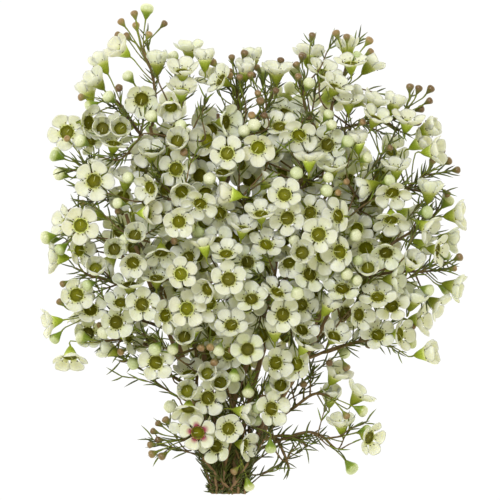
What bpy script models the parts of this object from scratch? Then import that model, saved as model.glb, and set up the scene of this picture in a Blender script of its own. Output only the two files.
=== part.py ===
"""A bunch of cut waxflower, lying down with its blossoms spread wide.

Woody stems lie side by side at the cut end (-Y) and fan out into a rounded head (+Y).
Each spray is a twig that butts against the side of a stem and bears blossoms, buds and needles,
fused to it. The head lies on two low blossoms, and the bundle on its lowest stem.
Lengths in the layout are millimetres, with X and Y from the middle of the picture.
"""

import math
import random

import bmesh
import bpy
from mathutils import Matrix, Vector
from mathutils.bvhtree import BVHTree

MM = 0.001
SEED = 4211
COLLECTION_NAME = "Waxflower bunch"
UP = Vector((0, 0, 1))

# Blossom
PETALS = 5
PETAL_HALF_ANGLE = math.radians(21)
CUP_RADIUS = 3.1
CUP_MIDDLE = 0.7
STALK_RADIUS = 0.48

# Kinds of repeat: how far the neck lies behind the middle, range of sizes, how far the petals'
# tips rise over the cup and how much more where the blossom is turned sideways, and a bud's shape
BLOSSOM = {"name": "blossom", "neck": 5.0, "sizes": (0.94, 1.08), "reach": 9.2,
           "lifts": (0.9, 1.4, 2.0, 2.8), "side lift": 3.0}
HALF_OPEN = {"name": "half-open blossom", "neck": 5.0, "sizes": (0.95, 1.05), "reach": 5.6,
             "lifts": (4.4, 5.0)}
PALE_BUD = {"name": "pale bud", "neck": 4.4, "sizes": (0.85, 1.1), "radius": 3.0, "cap": 3.1,
            "sides": 5}
BROWN_BUD = {"name": "brown bud", "neck": 3.0, "sizes": (0.85, 1.1), "radius": 1.9, "cap": 1.9,
             "sides": 4}

# Needles and stalks
NEEDLE_RADIUS = 0.42
NEEDLE_LENGTHS = (6.0, 11.0)
STALK_REACH = (3.0, 23.0)
STALK_BEST = 10.0
STALK_LEAN = (0.6, 1.45)
STALK_FOOT = 1.3
ROOT_STEPS = 24
ROOT_SPACING = 1.5

# Stems and twigs
STEM_RADII = (1.5, 0.85)
TWIG_RADII = (0.85, 0.65)
STEM_STEPS = 9
TWIG_STEPS = 4
TWIG_BEST = 34.0
CLEARANCE = 0.34
OWN_CLEARANCE = 0.1
SEAT_GAP = 0.2
NUDGES = 30
NEAR_SPRAYS = 10

# Head: middle, mid height, and how far it swells towards the camera and towards the surface
CUT_Y = -122.4
HEAD_MIDDLE = Vector((2.0, 12.0, 0.0))
AXIS_HEIGHT_CUT = 8.0
AXIS_HEIGHT_HEAD = 37.0
FRONT_SWELL = 42.0
BACK_SWELL = 33.0
SWELL_AT_CUT = 8.0
SWELL_FULL_Y = -5.0
LOWEST_PETAL = 0.7

# Outline of the dense head: angle from +X in degrees, radius
HEAD_OUTLINE = (
    (0, 101), (30, 100), (48, 93), (60, 96), (76, 82), (90, 80), (105, 88), (120, 96), (137, 103),
    (152, 105), (180, 101), (205, 95), (237, 95), (250, 108), (262, 114), (272, 104), (281, 86),
    (298, 80), (314, 85), (330, 99), (345, 101),
)

# Blossoms that the rule places: how many, how deep, and between which heights of the head, where
# -1 is its lowest point and 1 its highest
RULED_BLOSSOMS = (
    (22, (5.0, 14.0), (0.72, 1.0)),
    (16, (12.0, 26.0), (-0.35, 0.3)),
    (16, (2.0, 10.0), (-0.9, -0.35)),
)
RULED_BUD_HEIGHTS = (-0.9, 0.3)
HEAD_PALE_BUDS = 4
HEAD_BROWN_BUDS = 4
FRONT_SPRAYS = 19
BACK_SPRAYS = 5
FRONT_LATITUDES = (0.1, 1.0)
BACK_LATITUDES = (-0.9, -0.2)
FRONT_TWIG_DEPTH = 17.0
BACK_TWIG_DEPTH = 13.0
NEEDLES_PER_SPRAY = 2
NEEDLES_PER_LEAFY_TWIG = 10
FRONT_SPACING = 13.0
BACK_SPACING = 27.0

# How blossoms are turned: the rule's ones at random about the head's surface, with a share upwards,
# and those placed by hand by their look-up share, which TILT leans further over
FACING_NOISE = 0.36
FACING_UP = 0.35
TILT = 1.6

# Stems: where each is cut (x, height) and where its leafy end stands (x, y, height from the axis)
STEMS = (
    ((-17.6, 6.4), (-62, 18, 4)),
    ((-14.6, 2.0), (-46, -16, -10)),
    ((-12.8, 6.2), (-50, 62, -4)),
    ((-7.4, 13.4), (-16, 68, 4)),
    ((-13.0, 10.6), (14, 8, 9)),
    ((-8.4, 5.2), (42, 60, 0)),
    ((-4.2, 2.2), (52, 2, -6)),
    ((-3.6, 6.8), (40, -30, 6)),
)

# Sprays at the outline, placed by hand: tip of the twig (x, y, height from the axis), then
# blossoms (x, y, angle they face in degrees, how far they look up), brown buds and pale buds
OUTLINE_SPRAYS = (
    ("bud_spray_top_left", (-54, 101, 4), ((-63, 100, 140, 0.2),),
     ((-58, 118), (-64, 114), (-56, 112), (-66, 107), (-61, 107), (-43, 113), (-51, 107)),
     ((-51, 119),)),
    ("bud_spray_top_middle", (-7, 81, 6), ((-18, 84, 110, 0.5),),
     ((-18, 93), (-9, 96), (-3, 98), (-10, 89), (-4, 89), (1, 87)), ()),
    ("bud_spray_top", (12, 79, 3), (), ((9, 91), (15, 94), (12, 87), (4, 91)), ()),
    ("bud_spray_top_inner", (27, 84, 6), ((36, 88, 70, 0.4),), ((26, 96), (23, 92), (31, 107)), ()),
    ("bud_spray_top_right", (49, 92, 2), ((48, 99, 100, 0.1), (58, 92, 50, 0.2)),
     ((43, 108), (49, 106), (59, 104), (60, 99)), ((53, 97),)),
    ("bud_spray_right_high", (79, 68, 4), ((88, 60, 20, 0.3),),
     ((80, 81), (84, 80), (90, 80), (89, 74), (85, 70)), ()),
    ("bud_spray_right", (88, 38, 2), ((87, 29, 90, 0.2),),
     ((95, 49), (92, 45), (99, 44), (103, 40), (98, 28)), ()),
    ("flower_spray_right", (91, 15, 0), ((102, 17, 5, 0.1), (99, 5, -10, 0.3)), (), ((99, 24),)),
    ("bud_spray_right_low", (89, -11, 2), ((101, -18, -15, 0.1), (93, -26, -30, 0.3)),
     ((104, -4), (102, -9)), ((97, -3),)),
    ("flower_spray_far_right", (69, -47, 3), ((87, -52, 10, 0.3), (92, -34, 0, 0.7)), (),
     ((80, -46),)),
    ("flower_spray_low_right", (40, -73, 2), ((42, -64, 60, 0.4), (54, -74, 50, 0.3)), ((48, -83),),
     ((56, -81),)),
    ("flower_spray_lowest_right", (39, -95, 2), ((46, -89, 95, 0.4), (61, -93, -15, 0.35)), (),
     ((58, -91), (51, -109))),
    ("bud_spray_low_left", (-34, -96, 0), ((-29, -86, 120, 0.5),),
     ((-46, -87), (-42, -86), (-48, -91), (-46, -95), (-50, -98), (-49, -102), (-44, -103)), ()),
    ("flower_spray_left_low", (-75, -46, 0), ((-90, -53, 270, 0.4), (-80, -42, 0, 0.9)), (),
     ((-84, -44),)),
    ("flower_spray_left", (-87, -33, 2), ((-98.5, -36, 190, 0.2),), ((-95, -26),), ((-97, -44),)),
    ("bud_spray_left", (-83, -12, 3), ((-95, -4, 180, 0.1),), ((-93, -17),), ((-88, -20),)),
    ("bud_spray_left_middle", (-84, 9, 3), ((-92, 14, 160, 0.4),), ((-89, 19), (-84, 23)),
     ((-100, 5), (-95, 1))),
    ("flower_spray_left_high", (-83, 42, 3), ((-91.5, 59, 150, 0.9),), (), ((-97, 47), (-95, 38))),
    ("flower_spray_top_left", (-68, 76, 2), ((-76, 84, 130, 0.4), (-73, 91, 120, 0.1)),
     ((-84, 76),), ((-80, 72),)),
    ("bud_spray_bottom", (-4, -107, 9), (), ((-8, -111),), ((-1, -118),)),
    ("flower_spray_neck_left", (-20, -82, 8), ((-28, -89, 225, 0.8),), (), ()),
    ("flower_spray_neck_middle", (-7, -84, 10), (), (), ()),
    ("flower_spray_neck_right", (9, -74, 10), (), ((18, -79),), ((13, -85), (10, -99))),
)

# Front of the head, placed by hand in the picture's pixels: x, y, the angle a blossom faces in
# degrees, how far it looks up, and how deep it sits
PIXEL = 0.5
PICTURE_MIDDLE = 250
FRONT_BLOSSOMS = (
    (142, 99, 270, 0.85, 0), (88, 122, 0, 0.6, 3), (182, 74, 90, 0.45, 1), (181, 93, 90, 0.5, 2),
    (115, 146, 80, 0.4, 4), (94, 181, 0, 0.95, 0), (151, 187, 200, 0.65, 1), (182, 192, 300, 0.75, 1),
    (179, 221, 270, 0.85, 1), (145, 215, 0, 0.5, 2), (81, 226, 0, 0.95, 0), (78, 250, 0, 0.65, 2),
    (133, 262, 270, 0.8, 1), (160, 253, 270, 0.5, 3), (199, 203, 250, 0.6, 3), (152, 155, 90, 0.5, 5),
    (205, 247, 100, 0.15, 3), (205, 222, 0, 0.8, 7), (228, 154, 90, 0.85, 0), (222, 173, 90, 0.6, 5),
    (224, 123, 0, 0.55, 1), (258, 147, 270, 0.8, 1), (300, 133, 270, 0.8, 1), (292, 150, 250, 0.65, 2),
    (284, 196, 90, 0.85, 0), (266, 187, 45, 0.6, 2), (232, 195, 170, 0.2, 2), (290, 218, 0, 1.0, 0),
    (262, 216, 90, 0.45, 3), (243, 233, 80, 0.6, 1), (264, 241, 80, 0.7, 1), (264, 261, 60, 0.6, 1),
    (227, 256, 90, 0.6, 2), (318, 235, 0, 0.95, 0), (311, 212, 0, 0.8, 5), (307, 197, 90, 0.6, 4),
    (339, 217, 180, 0.6, 1), (331, 173, 90, 0.5, 2), (308, 163, 90, 0.15, 1), (341, 252, 200, 0.7, 1),
    (180, 274, 60, 0.85, 0), (229, 279, 90, 0.9, 0), (209, 288, 200, 0.7, 4), (252, 299, 100, 0.7, 0),
    (277, 293, 60, 0.5, 4), (283, 314, 0, 0.9, 0), (232, 325, 90, 0.75, 0), (252, 355, 0, 0.95, 0),
    (276, 363, 0, 0.8, 2), (298, 365, 180, 0.8, 1), (301, 330, 60, 0.65, 1), (243, 387, 90, 0.85, 4),
    (333, 337, 60, 0.6, 2), (325, 311, 60, 0.4, 2), (333, 282, 300, 0.6, 3), (343, 290, 90, 0.65, 0),
    (305, 345, 60, 0.3, 3), (187, 309, 0, 0.85, 1), (143, 305, 0, 0.9, 0), (165, 315, 0, 0.65, 2),
    (122, 303, 90, 0.65, 3), (116, 322, 0, 0.85, 0), (124, 335, 0, 0.7, 3), (131, 286, 90, 0.45, 2),
    (157, 280, 90, 0.5, 3), (156, 363, 0, 0.9, 1), (192, 376, 90, 0.65, 3), (190, 329, 90, 0.5, 5),
    (78, 293, 0, 0.9, 1), (91, 311, 90, 0.75, 2), (76, 315, 270, 0.4, 3), (386, 249, 270, 0.75, 0),
    (391, 219, 270, 0.5, 3), (391, 191, 270, 0.6, 2), (371, 188, 200, 0.3, 3), (392, 306, 90, 0.8, 0),
    (377, 336, 90, 0.75, 0), (396, 333, 0, 0.5, 2), (358, 315, 0, 0.65, 3), (392, 279, 0, 0.4, 2),
    (413, 320, 0, 0.6, 3), (378, 293, 90, 0.5, 4), (424, 227, 330, 0.3, 1), (395, 170, 90, 0.35, 4),
    (348, 104, 90, 0.3, 3), (372, 104, 60, 0.15, 1), (392, 109, 70, 0.2, 1), (378, 120, 60, 0.15, 3),
    (348, 62, 95, 0.05, 0), (362, 68, 60, 0.1, 1), (335, 90, 60, 0.4, 2), (190, 52, 90, 0.2, 3),
    (222, 82, 150, 0.45, 1), (210, 88, 130, 0.1, 2), (245, 73, 90, 0.3, 3), (275, 74, 90, 0.2, 4),
    (305, 58, 90, 0.1, 1), (158, 66, 90, 0.1, 2), (208, 398, 0, 0.85, 0), (93, 90, 100, 0.2, 0),
    (404, 127, 80, 0.25, 4), (419, 143, 30, 0.15, 2), (432, 152, 5, 0.2, 1), (413, 196, 95, 0.15, 2),
    (429, 194, 80, 0.15, 1), (436, 250, 350, 0.4, 1), (104, 166, 90, 0.3, 5), (122, 184, 90, 0.6, 4),
    (411, 303, 70, 0.3, 4), (229, 429, 0, 0.95, -12), (217, 446, 200, 0.8, -10),
    (244, 446, 345, 0.45, -13), (206, 443, 200, 0.6, -6), (215, 417, 200, 0.75, 2),
    (243, 411, 350, 0.4, -5), (267, 411, 0, 0.75, -5), (192, 407, 270, 0.5, 3),
)
FRONT_HALF_OPEN = (
    (103, 129, 90, 0.9, 1), (121, 130, 90, 0.9, 1), (172, 107, 270, 0.7, 3), (177, 143, 90, 0.8, 1),
    (115, 250, 90, 0.9, 0), (136, 237, 90, 0.8, 1), (96, 270, 90, 0.8, 1), (301, 254, 90, 0.9, 0),
    (208, 374, 90, 0.85, 0), (221, 384, 90, 0.85, 1), (283, 389, 90, 0.85, 0), (274, 333, 90, 0.35, 2),
    (184, 337, 90, 0.8, 1), (368, 268, 90, 0.8, 0), (360, 147, 90, 0.5, 0), (187, 391, 90, 0.9, -3),
    (205, 62, 90, 0.05, 0), (252, 62, 90, 0.05, 1), (111, 352, 160, 0.1, 2), (411, 264, 60, 0.6, 1),
    (330, 399, 85, 0.6, 0),
)
FRONT_PALE_BUDS = (
    (110, 98, 0), (128, 77, 0), (82, 142, 0), (152, 117, 0), (181, 126, 0), (173, 57, 1), (61, 174, 2),
    (57, 153, 2), (129, 178, 0), (125, 240, 0), (189, 227, 0), (197, 232, 0), (120, 203, 1),
    (210, 179, 2), (295, 174, 0), (327, 178, 0), (326, 192, 1), (293, 240, 3), (255, 127, 1),
    (244, 133, 2), (325, 118, 0), (331, 126, 1), (308, 84, 2), (346, 143, 1), (366, 156, 0),
    (388, 182, 0), (354, 235, 0), (357, 260, 0), (425, 212, 1), (345, 273, 0), (357, 281, 0),
    (296, 293, 0), (219, 350, 1), (233, 374, 0), (156, 348, 1), (174, 349, 1), (88, 285, 1),
    (427, 290, 1), (256, 405, 0), (256, 420, 0), (248, 392, 0), (270, 387, 1), (51, 239, 2),
)
FRONT_BROWN_BUDS = (
    (185, 153, 0), (176, 244, 0), (337, 193, 1), (346, 183, 2), (121, 213, 1), (201, 347, 1),
    (211, 346, 1), (232, 350, 1), (215, 361, 1), (238, 367, 1), (286, 408, 1), (257, 95, 0),
    (260, 102, 0), (251, 116, 0), (265, 116, 0), (276, 92, 0), (298, 78, 0), (302, 57, 0), (230, 76, 0),
    (239, 78, 0), (251, 76, 0), (390, 147, 0), (361, 123, 1), (417, 123, 1),
)

# Twigs with needles only: tip of the twig (x, y, height from the axis)
LEAFY_TWIGS = ((29, -99, -2), (20, -111, 0), (-66, -56, -4))

# Two blossoms that the head lies on: x, y
RESTING_BLOSSOMS = ((-50.0, 46.0), (54.0, 44.0))

# Colours
BARK_COLOUR = (0.24, 0.145, 0.08, 1)
PETAL_COLOUR = (0.86, 0.87, 0.80, 1)
BUD_COLOUR = (0.50, 0.30, 0.20, 1)
NEEDLE_COLOUR = (0.11, 0.15, 0.05, 1)


def smooth_step(value, low, high):
    """0 below low, 1 above high, smooth between."""
    t = min(max((value - low) / (high - low), 0.0), 1.0)
    return t * t * (3 - 2 * t)


def head_radius(angle):
    """Radius of the dense head towards an angle in radians."""
    degrees = math.degrees(angle) % 360
    following = HEAD_OUTLINE[1:] + ((360, HEAD_OUTLINE[0][1]),)
    for (start, near), (end, far) in zip(HEAD_OUTLINE, following):
        if degrees <= end:
            return near + (far - near) * (degrees - start) / (end - start)
    return HEAD_OUTLINE[0][1]


def axis_height(y):
    """Height of the bunch's middle over the surface."""
    rise = smooth_step(y, CUT_Y, SWELL_FULL_Y)
    return AXIS_HEIGHT_CUT + (AXIS_HEIGHT_HEAD - AXIS_HEIGHT_CUT) * rise


def swell(y, full):
    """Half thickness of the bunch, on the side whose full value is given."""
    return SWELL_AT_CUT + (full - SWELL_AT_CUT) * smooth_step(y, CUT_Y, SWELL_FULL_Y)


def head_point(angle, latitude, depth):
    """A point of the head's surface, sunk by depth, and the way that the surface faces there."""
    radius = head_radius(angle)
    ratio = math.cos(latitude)
    x = HEAD_MIDDLE.x + radius * ratio * math.cos(angle)
    y = HEAD_MIDDLE.y + radius * ratio * math.sin(angle)
    half = swell(y, FRONT_SWELL if latitude > 0 else BACK_SWELL)
    z = axis_height(y) + half * math.sin(latitude)
    facing = Vector((ratio * math.cos(angle) / radius, ratio * math.sin(angle) / radius,
                     math.sin(latitude) / half)).normalized()
    return Vector((x, y, z)) - facing * depth, facing


def from_picture(x, y, depth):
    """The place in the front of the head that a pixel of the picture shows."""
    place = Vector(((x - PICTURE_MIDDLE) * PIXEL, (PICTURE_MIDDLE - y) * PIXEL, 0))
    run = place - HEAD_MIDDLE
    share = min(math.hypot(run.x, run.y) / head_radius(math.atan2(run.y, run.x)), 1.0)
    rise = swell(place.y, FRONT_SWELL) * math.sqrt(1 - share * share)
    place.z = axis_height(place.y) + rise - depth
    return place


def looking(angle, look_up):
    """Direction that faces an angle in degrees and looks up by a share."""
    turned = math.radians(angle)
    flat = Vector((math.cos(turned), math.sin(turned), 0))
    return (flat * (1 - look_up) * TILT + UP * look_up).normalized()


def axes_towards(direction, turn):
    """Rotation whose Z axis points along a direction, turned about it."""
    return direction.to_track_quat("Z", "Y").to_matrix() @ Matrix.Rotation(turn, 3, "Z")


def ring(count, radius, height, start=0.0):
    """Points evenly round the Z axis."""
    angles = [start + 2 * math.pi * i / count for i in range(count)]
    return [Vector((radius * math.cos(a), radius * math.sin(a), height)) for a in angles]


def loft(upper, lower, upper_start, lower_start):
    """Triangles between two closed rings of unlike counts, walked by how far round each has come."""
    faces = []
    i = 0
    j = 0
    while i < upper or j < lower:
        step_upper = j == lower or (i < upper and (i + 0.5) / upper <= (j + 0.5) / lower)
        a = upper_start + i % upper
        b = lower_start + j % lower
        if step_upper:
            faces.append((a, b, upper_start + (i + 1) % upper))
            i += 1
        else:
            faces.append((a, b, lower_start + (j + 1) % lower))
            j += 1
    return faces


def add_stalk(verts, faces, ring_start, ring_count, neck, base):
    """Close a ring of verts down to a three-sided stalk that ends in its twig."""
    neck_start = len(verts)
    turn = axes_towards((neck - base).normalized(), 0.0)
    for end in (neck, base):
        verts.extend(end + turn @ point for point in ring(3, STALK_RADIUS, 0.0))
    first = verts[ring_start]
    nearest = min(range(3), key=lambda k: (verts[neck_start + k] - first).length)
    order = [neck_start + (nearest + k) % 3 for k in range(3)]
    turned = {neck_start + k: order[k] for k in range(3)}
    for face in loft(ring_count, 3, ring_start, neck_start):
        faces.append(tuple(turned.get(v, v) for v in face))
    for k in range(3):
        near = order[k]
        far = order[(k + 1) % 3]
        faces.append((near, near + 3, far + 3))
        faces.append((near, far + 3, far))
    faces.append((order[0] + 3, order[2] + 3, order[1] + 3))


def blossom_shape(repeat, base):
    """Five wedge petals round a shallow cup, the green cone behind them and its stalk."""
    axes = axes_towards(repeat["facing"], repeat["turn"])
    length = repeat["kind"]["reach"] * repeat["size"]
    reach = math.sqrt(length**2 - repeat["lift"]**2 / 2)
    verts = [Vector((0, 0, CUP_MIDDLE))]
    valleys = []
    for petal in range(PETALS):
        middle = 2 * math.pi * petal / PETALS
        for angle in (middle - PETAL_HALF_ANGLE, middle + PETAL_HALF_ANGLE):
            verts.append(Vector((reach * math.cos(angle), reach * math.sin(angle), repeat["lift"])))
        angle = middle + math.pi / PETALS
        valleys.append(len(verts))
        verts.append(Vector((CUP_RADIUS * math.cos(angle), CUP_RADIUS * math.sin(angle), -0.4)))
    outline = len(verts) - 1
    faces = [(0, 1 + i, 1 + (i + 1) % outline) for i in range(outline)]
    for petal in range(PETALS):
        before = valleys[petal - 1]
        after = valleys[petal]
        faces.append((after - 2, before, after))
        faces.append((after - 2, after, after - 1))
    verts = [repeat["place"] + axes @ v for v in verts]
    rim = len(verts)
    verts.extend(verts[v] for v in valleys)
    add_stalk(verts, faces, rim, PETALS, repeat["neck"], base)
    joined = {rim + k: valleys[k] for k in range(PETALS)}
    return compact(verts, [tuple(joined.get(v, v) for v in face) for face in faces])


def bud_shape(repeat, base):
    """A bud: a pointed cap over a green cone, and its stalk."""
    kind = repeat["kind"]
    axes = axes_towards(repeat["facing"], repeat["turn"])
    verts = [Vector((0, 0, kind["cap"] * repeat["size"]))]
    verts += ring(kind["sides"], kind["radius"] * repeat["size"], 0.0)
    verts = [repeat["place"] + axes @ v for v in verts]
    faces = [(0, 1 + i, 1 + (i + 1) % kind["sides"]) for i in range(kind["sides"])]
    add_stalk(verts, faces, 1, kind["sides"], repeat["neck"], base)
    return compact(verts, faces)


def repeat_shape(repeat, base):
    """The closed shape of one blossom or bud, with its stalk's end at base."""
    if "sides" in repeat["kind"]:
        return bud_shape(repeat, base)
    return blossom_shape(repeat, base)


def compact(verts, faces):
    """Drop the verts that no face uses."""
    used = sorted({v for face in faces for v in face})
    index = {v: i for i, v in enumerate(used)}
    return [verts[v] for v in used], [tuple(index[v] for v in face) for face in faces]


def cone_shape(tip, base, radius):
    """A three-sided needle, from a cone primitive."""
    mesh = bmesh.new()
    direction = tip - base
    place = Matrix.Translation((tip + base) / 2) @ axes_towards(direction.normalized(), 0.0).to_4x4()
    bmesh.ops.create_cone(mesh, cap_ends=True, segments=3, radius1=radius, radius2=0,
                          depth=direction.length, matrix=place)
    bmesh.ops.triangulate(mesh, faces=mesh.faces)
    verts = [v.co.copy() for v in mesh.verts]
    faces = [tuple(v.index for v in face.verts) for face in mesh.faces]
    mesh.free()
    return verts, faces


def tube_shape(points, radii, sides=4):
    """A tapering tube along points, for the clearance rule."""
    verts = []
    for i, point in enumerate(points):
        along = (points[min(i + 1, len(points) - 1)] - points[max(i - 1, 0)]).normalized()
        turn = axes_towards(along, 0.0)
        verts.extend(point + turn @ p for p in ring(sides, radii[i], 0.0))
    faces = []
    for i in range(len(points) - 1):
        for k in range(sides):
            a = i * sides + k
            b = i * sides + (k + 1) % sides
            faces.append((a, b, b + sides))
            faces.append((a, b + sides, a + sides))
    last = (len(points) - 1) * sides
    faces.append(tuple(range(sides))[::-1])
    faces.append(tuple(range(last, last + sides)))
    return verts, faces


def swollen(shape, margin):
    """The same shape with its surface moved out by a margin."""
    verts, faces = shape
    normals = [Vector() for _ in verts]
    for face in faces:
        a, b, c = (verts[v] for v in face[:3])
        normal = (b - a).cross(c - a).normalized()
        for v in face:
            normals[v] += normal
    moved = [v + n.normalized() * margin * 1.3 for v, n in zip(verts, normals)]
    return moved, faces


class Clearance:
    """Keeps what has been placed, and says whether a new shape would come too near to it."""

    def __init__(self):
        self.items = []

    def add(self, shape, owner):
        verts, faces = shape
        middle = sum(verts, Vector()) / len(verts)
        radius = max((v - middle).length for v in verts)
        self.items.append((middle, radius, BVHTree.FromPolygons(verts, faces), owner))

    def is_free(self, shape, ignored=(), margin=CLEARANCE, lowest=LOWEST_PETAL):
        verts, faces = swollen(shape, margin)
        if min(v.z for v in shape[0]) < lowest:
            return False
        middle = sum(verts, Vector()) / len(verts)
        radius = max((v - middle).length for v in verts)
        tree = None
        for other_middle, other_radius, other_tree, owner in self.items:
            if owner in ignored:
                continue
            if (other_middle - middle).length > other_radius + radius:
                continue
            if tree is None:
                tree = BVHTree.FromPolygons(verts, faces)
            if tree.overlap(other_tree):
                return False
        return True

    def meets(self, shape, owner):
        """Whether a shape crosses what one owner has placed."""
        tree = BVHTree.FromPolygons(*shape)
        return any(tree.overlap(item[2]) for item in self.items if item[3] == owner)


def bezier(start, start_pull, end_pull, end, steps):
    """Points along a cubic curve."""
    points = []
    for i in range(steps):
        t = i / (steps - 1)
        s = 1 - t
        points.append(start * s**3 + start_pull * (3 * s * s * t)
                      + end_pull * (3 * s * t * t) + end * t**3)
    return points


def tapered(radii, steps):
    """Radii from the first to the last of a pair."""
    return [radii[0] + (radii[1] - radii[0]) * i / (steps - 1) for i in range(steps)]


def stem_route(cut, end, wander):
    """A stem: straight in the bundle, then fanning out to its leafy end."""
    start = Vector((cut[0], CUT_Y, cut[1]))
    tip = Vector((end[0], end[1], axis_height(end[1]) + end[2]))
    run = tip - start
    start_pull = start + Vector((run.x * 0.10, run.y * 0.34, 4.0)) + wander
    end_pull = tip - Vector((run.x * 0.30, run.y * 0.34, 5.0)) - wander
    return bezier(start, start_pull, end_pull, tip, STEM_STEPS)


def along_route(points, share):
    """Point and direction at a share of a route's steps."""
    place = share * (len(points) - 1)
    i = min(int(place), len(points) - 2)
    point = points[i].lerp(points[i + 1], place - i)
    return point, (points[i + 1] - points[i]).normalized()


def distance_to_route(point, route):
    """Shortest distance from a point to a route's points."""
    return min((point - p).length for p in route)


def lifted(x, y, rise):
    """A place given by its rise from the bunch's axis."""
    return Vector((x, y, axis_height(y) + rise))


def outward_at(place):
    """Level direction from the head's middle, or from the bundle below it."""
    origin = Vector((HEAD_MIDDLE.x, max(min(HEAD_MIDDLE.y, place.y * 0.5 + 6), -95), place.z))
    return (place - origin).normalized()


class Bunch:
    """The whole layout: stems, twigs and what grows on them."""

    def __init__(self):
        self.draw = random.Random(SEED)
        self.clearance = Clearance()
        self.stems = []
        self.sprays = []

    def grow(self):
        """Place the stems, then the outline, then the head by rule."""
        for number, (cut, end) in enumerate(STEMS, 1):
            self.add_stem(f"woody_stem_{number}", cut, end)
        for name, tip, blossoms, brown, pale in OUTLINE_SPRAYS:
            place = lifted(*tip)
            spray = self.add_twig(name, place, outward_at(place))
            self.add_by_hand(spray, blossoms, brown, pale)
        for number, tip in enumerate(LEAFY_TWIGS, 1):
            place = lifted(*tip)
            spray = self.add_twig(f"leafy_twig_{number}", place, outward_at(place))
            self.add_needles(spray, NEEDLES_PER_LEAFY_TWIG)
        for number, (x, y) in enumerate(RESTING_BLOSSOMS, 1):
            self.add_resting_spray(f"flower_spray_low_{number}", x, y)
        self.add_head_twigs("flower_spray_front", FRONT_SPRAYS, FRONT_LATITUDES, FRONT_TWIG_DEPTH)
        self.add_head_twigs("flower_spray_back", BACK_SPRAYS, BACK_LATITUDES, BACK_TWIG_DEPTH)
        self.add_front()
        for count, depths, heights in RULED_BLOSSOMS:
            self.add_head_repeats(BLOSSOM, count, depths, heights)
        self.add_head_repeats(PALE_BUD, HEAD_PALE_BUDS, (-1.0, 5.0), RULED_BUD_HEIGHTS)
        self.add_head_repeats(BROWN_BUD, HEAD_BROWN_BUDS, (-3.0, 4.0), RULED_BUD_HEIGHTS)
        for spray in self.sprays:
            self.add_needles(spray, NEEDLES_PER_SPRAY)

    def add_stem(self, name, cut, end):
        """A stem, bent clear of those before it."""
        for attempt in range(200):
            wander = Vector([self.draw.uniform(-1, 1) for _ in range(3)]) * 0.15 * attempt
            route = stem_route(cut, end, wander)
            radii = tapered(STEM_RADII, STEM_STEPS)
            shape = tube_shape(route, radii)
            if self.clearance.is_free(shape, (), CLEARANCE, 0.0):
                self.clearance.add(shape, name)
                self.stems.append({"name": name, "route": route, "radii": radii})
                return

    def add_twig(self, name, tip, outward):
        """A twig from the side of a stem, bent clear of what is already there."""
        choices = []
        for stem in self.stems:
            for step in range(5, 21):
                point, along = along_route(stem["route"], step / 20)
                run = tip - point
                lean = along.angle(run, 0.0)
                cost = abs(run.length - TWIG_BEST) * 0.5 + run.length * 0.35 + abs(lean - 0.55) * 22
                choices.append((cost, stem["name"], step / 20))
        choices.sort()
        routes = {stem["name"]: stem["route"] for stem in self.stems}
        for _, stem_name, share in choices[:80]:
            point, along = along_route(routes[stem_name], share)
            run = tip - point
            side = (run - along * run.dot(along)).normalized()
            girth = STEM_RADII[0] + (STEM_RADII[1] - STEM_RADII[0]) * share
            start = point + side * (girth + SEAT_GAP + TWIG_RADII[0] * 0.6)
            leave = start + (along + side * 0.9).normalized() * run.length * 0.3
            for bend in range(4):
                wander = Vector([self.draw.uniform(-1, 1) for _ in range(3)]) * 3.0 * bend
                route = bezier(start, leave + wander, tip - outward * run.length * 0.3 + wander, tip,
                               TWIG_STEPS)
                radii = tapered(TWIG_RADII, TWIG_STEPS)
                shape = tube_shape(route, radii)
                if not self.clearance.is_free(shape, (stem_name,)):
                    continue
                if not self.clearance.is_free(shape, (), SEAT_GAP * 0.6):
                    continue
                self.clearance.add(shape, name + " twig")
                spray = {"name": name, "route": route, "radii": radii, "repeats": [], "needles": []}
                self.sprays.append(spray)
                return spray
        return None

    def best_root(self, spray, neck):
        """Point of the twig from which a stalk to a neck leans forward at a natural length."""
        taken = [repeat["root"] for repeat in spray["repeats"]]
        best = None
        for step in range(ROOT_STEPS):
            root, along = along_route(spray["route"], 0.98 - 0.8 * step / ROOT_STEPS)
            run = neck - root
            lean = run.angle(along, 0.0)
            if not STALK_REACH[0] < run.length < STALK_REACH[1] or lean > STALK_LEAN[1]:
                continue
            crowding = sum((root - other).length < ROOT_SPACING for other in taken)
            cost = abs(run.length - STALK_BEST) + 6 * abs(lean - STALK_LEAN[0]) + 9 * crowding
            if best is None or cost < best[0]:
                best = (cost, root)
        return None if best is None else best[1]

    def fits(self, spray, repeat):
        """Whether a repeat is clear of other sprays, and its outer part of its own spray too."""
        own = [spray["name"] + part for part in (" twig", " heads", " stalks")]
        if not self.clearance.is_free(repeat["shape"], own):
            return False
        run = repeat["neck"] - repeat["root"]
        foot = repeat["root"] + run.normalized() * STALK_FOOT
        outer_stalk = cone_shape(repeat["neck"], foot, STALK_RADIUS)
        if (not self.clearance.is_free(repeat["head"], (), OWN_CLEARANCE)
                or self.clearance.meets(outer_stalk, spray["name"] + " heads")
                or self.clearance.meets(outer_stalk, spray["name"] + " stalks")):
            return False
        return True

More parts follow.
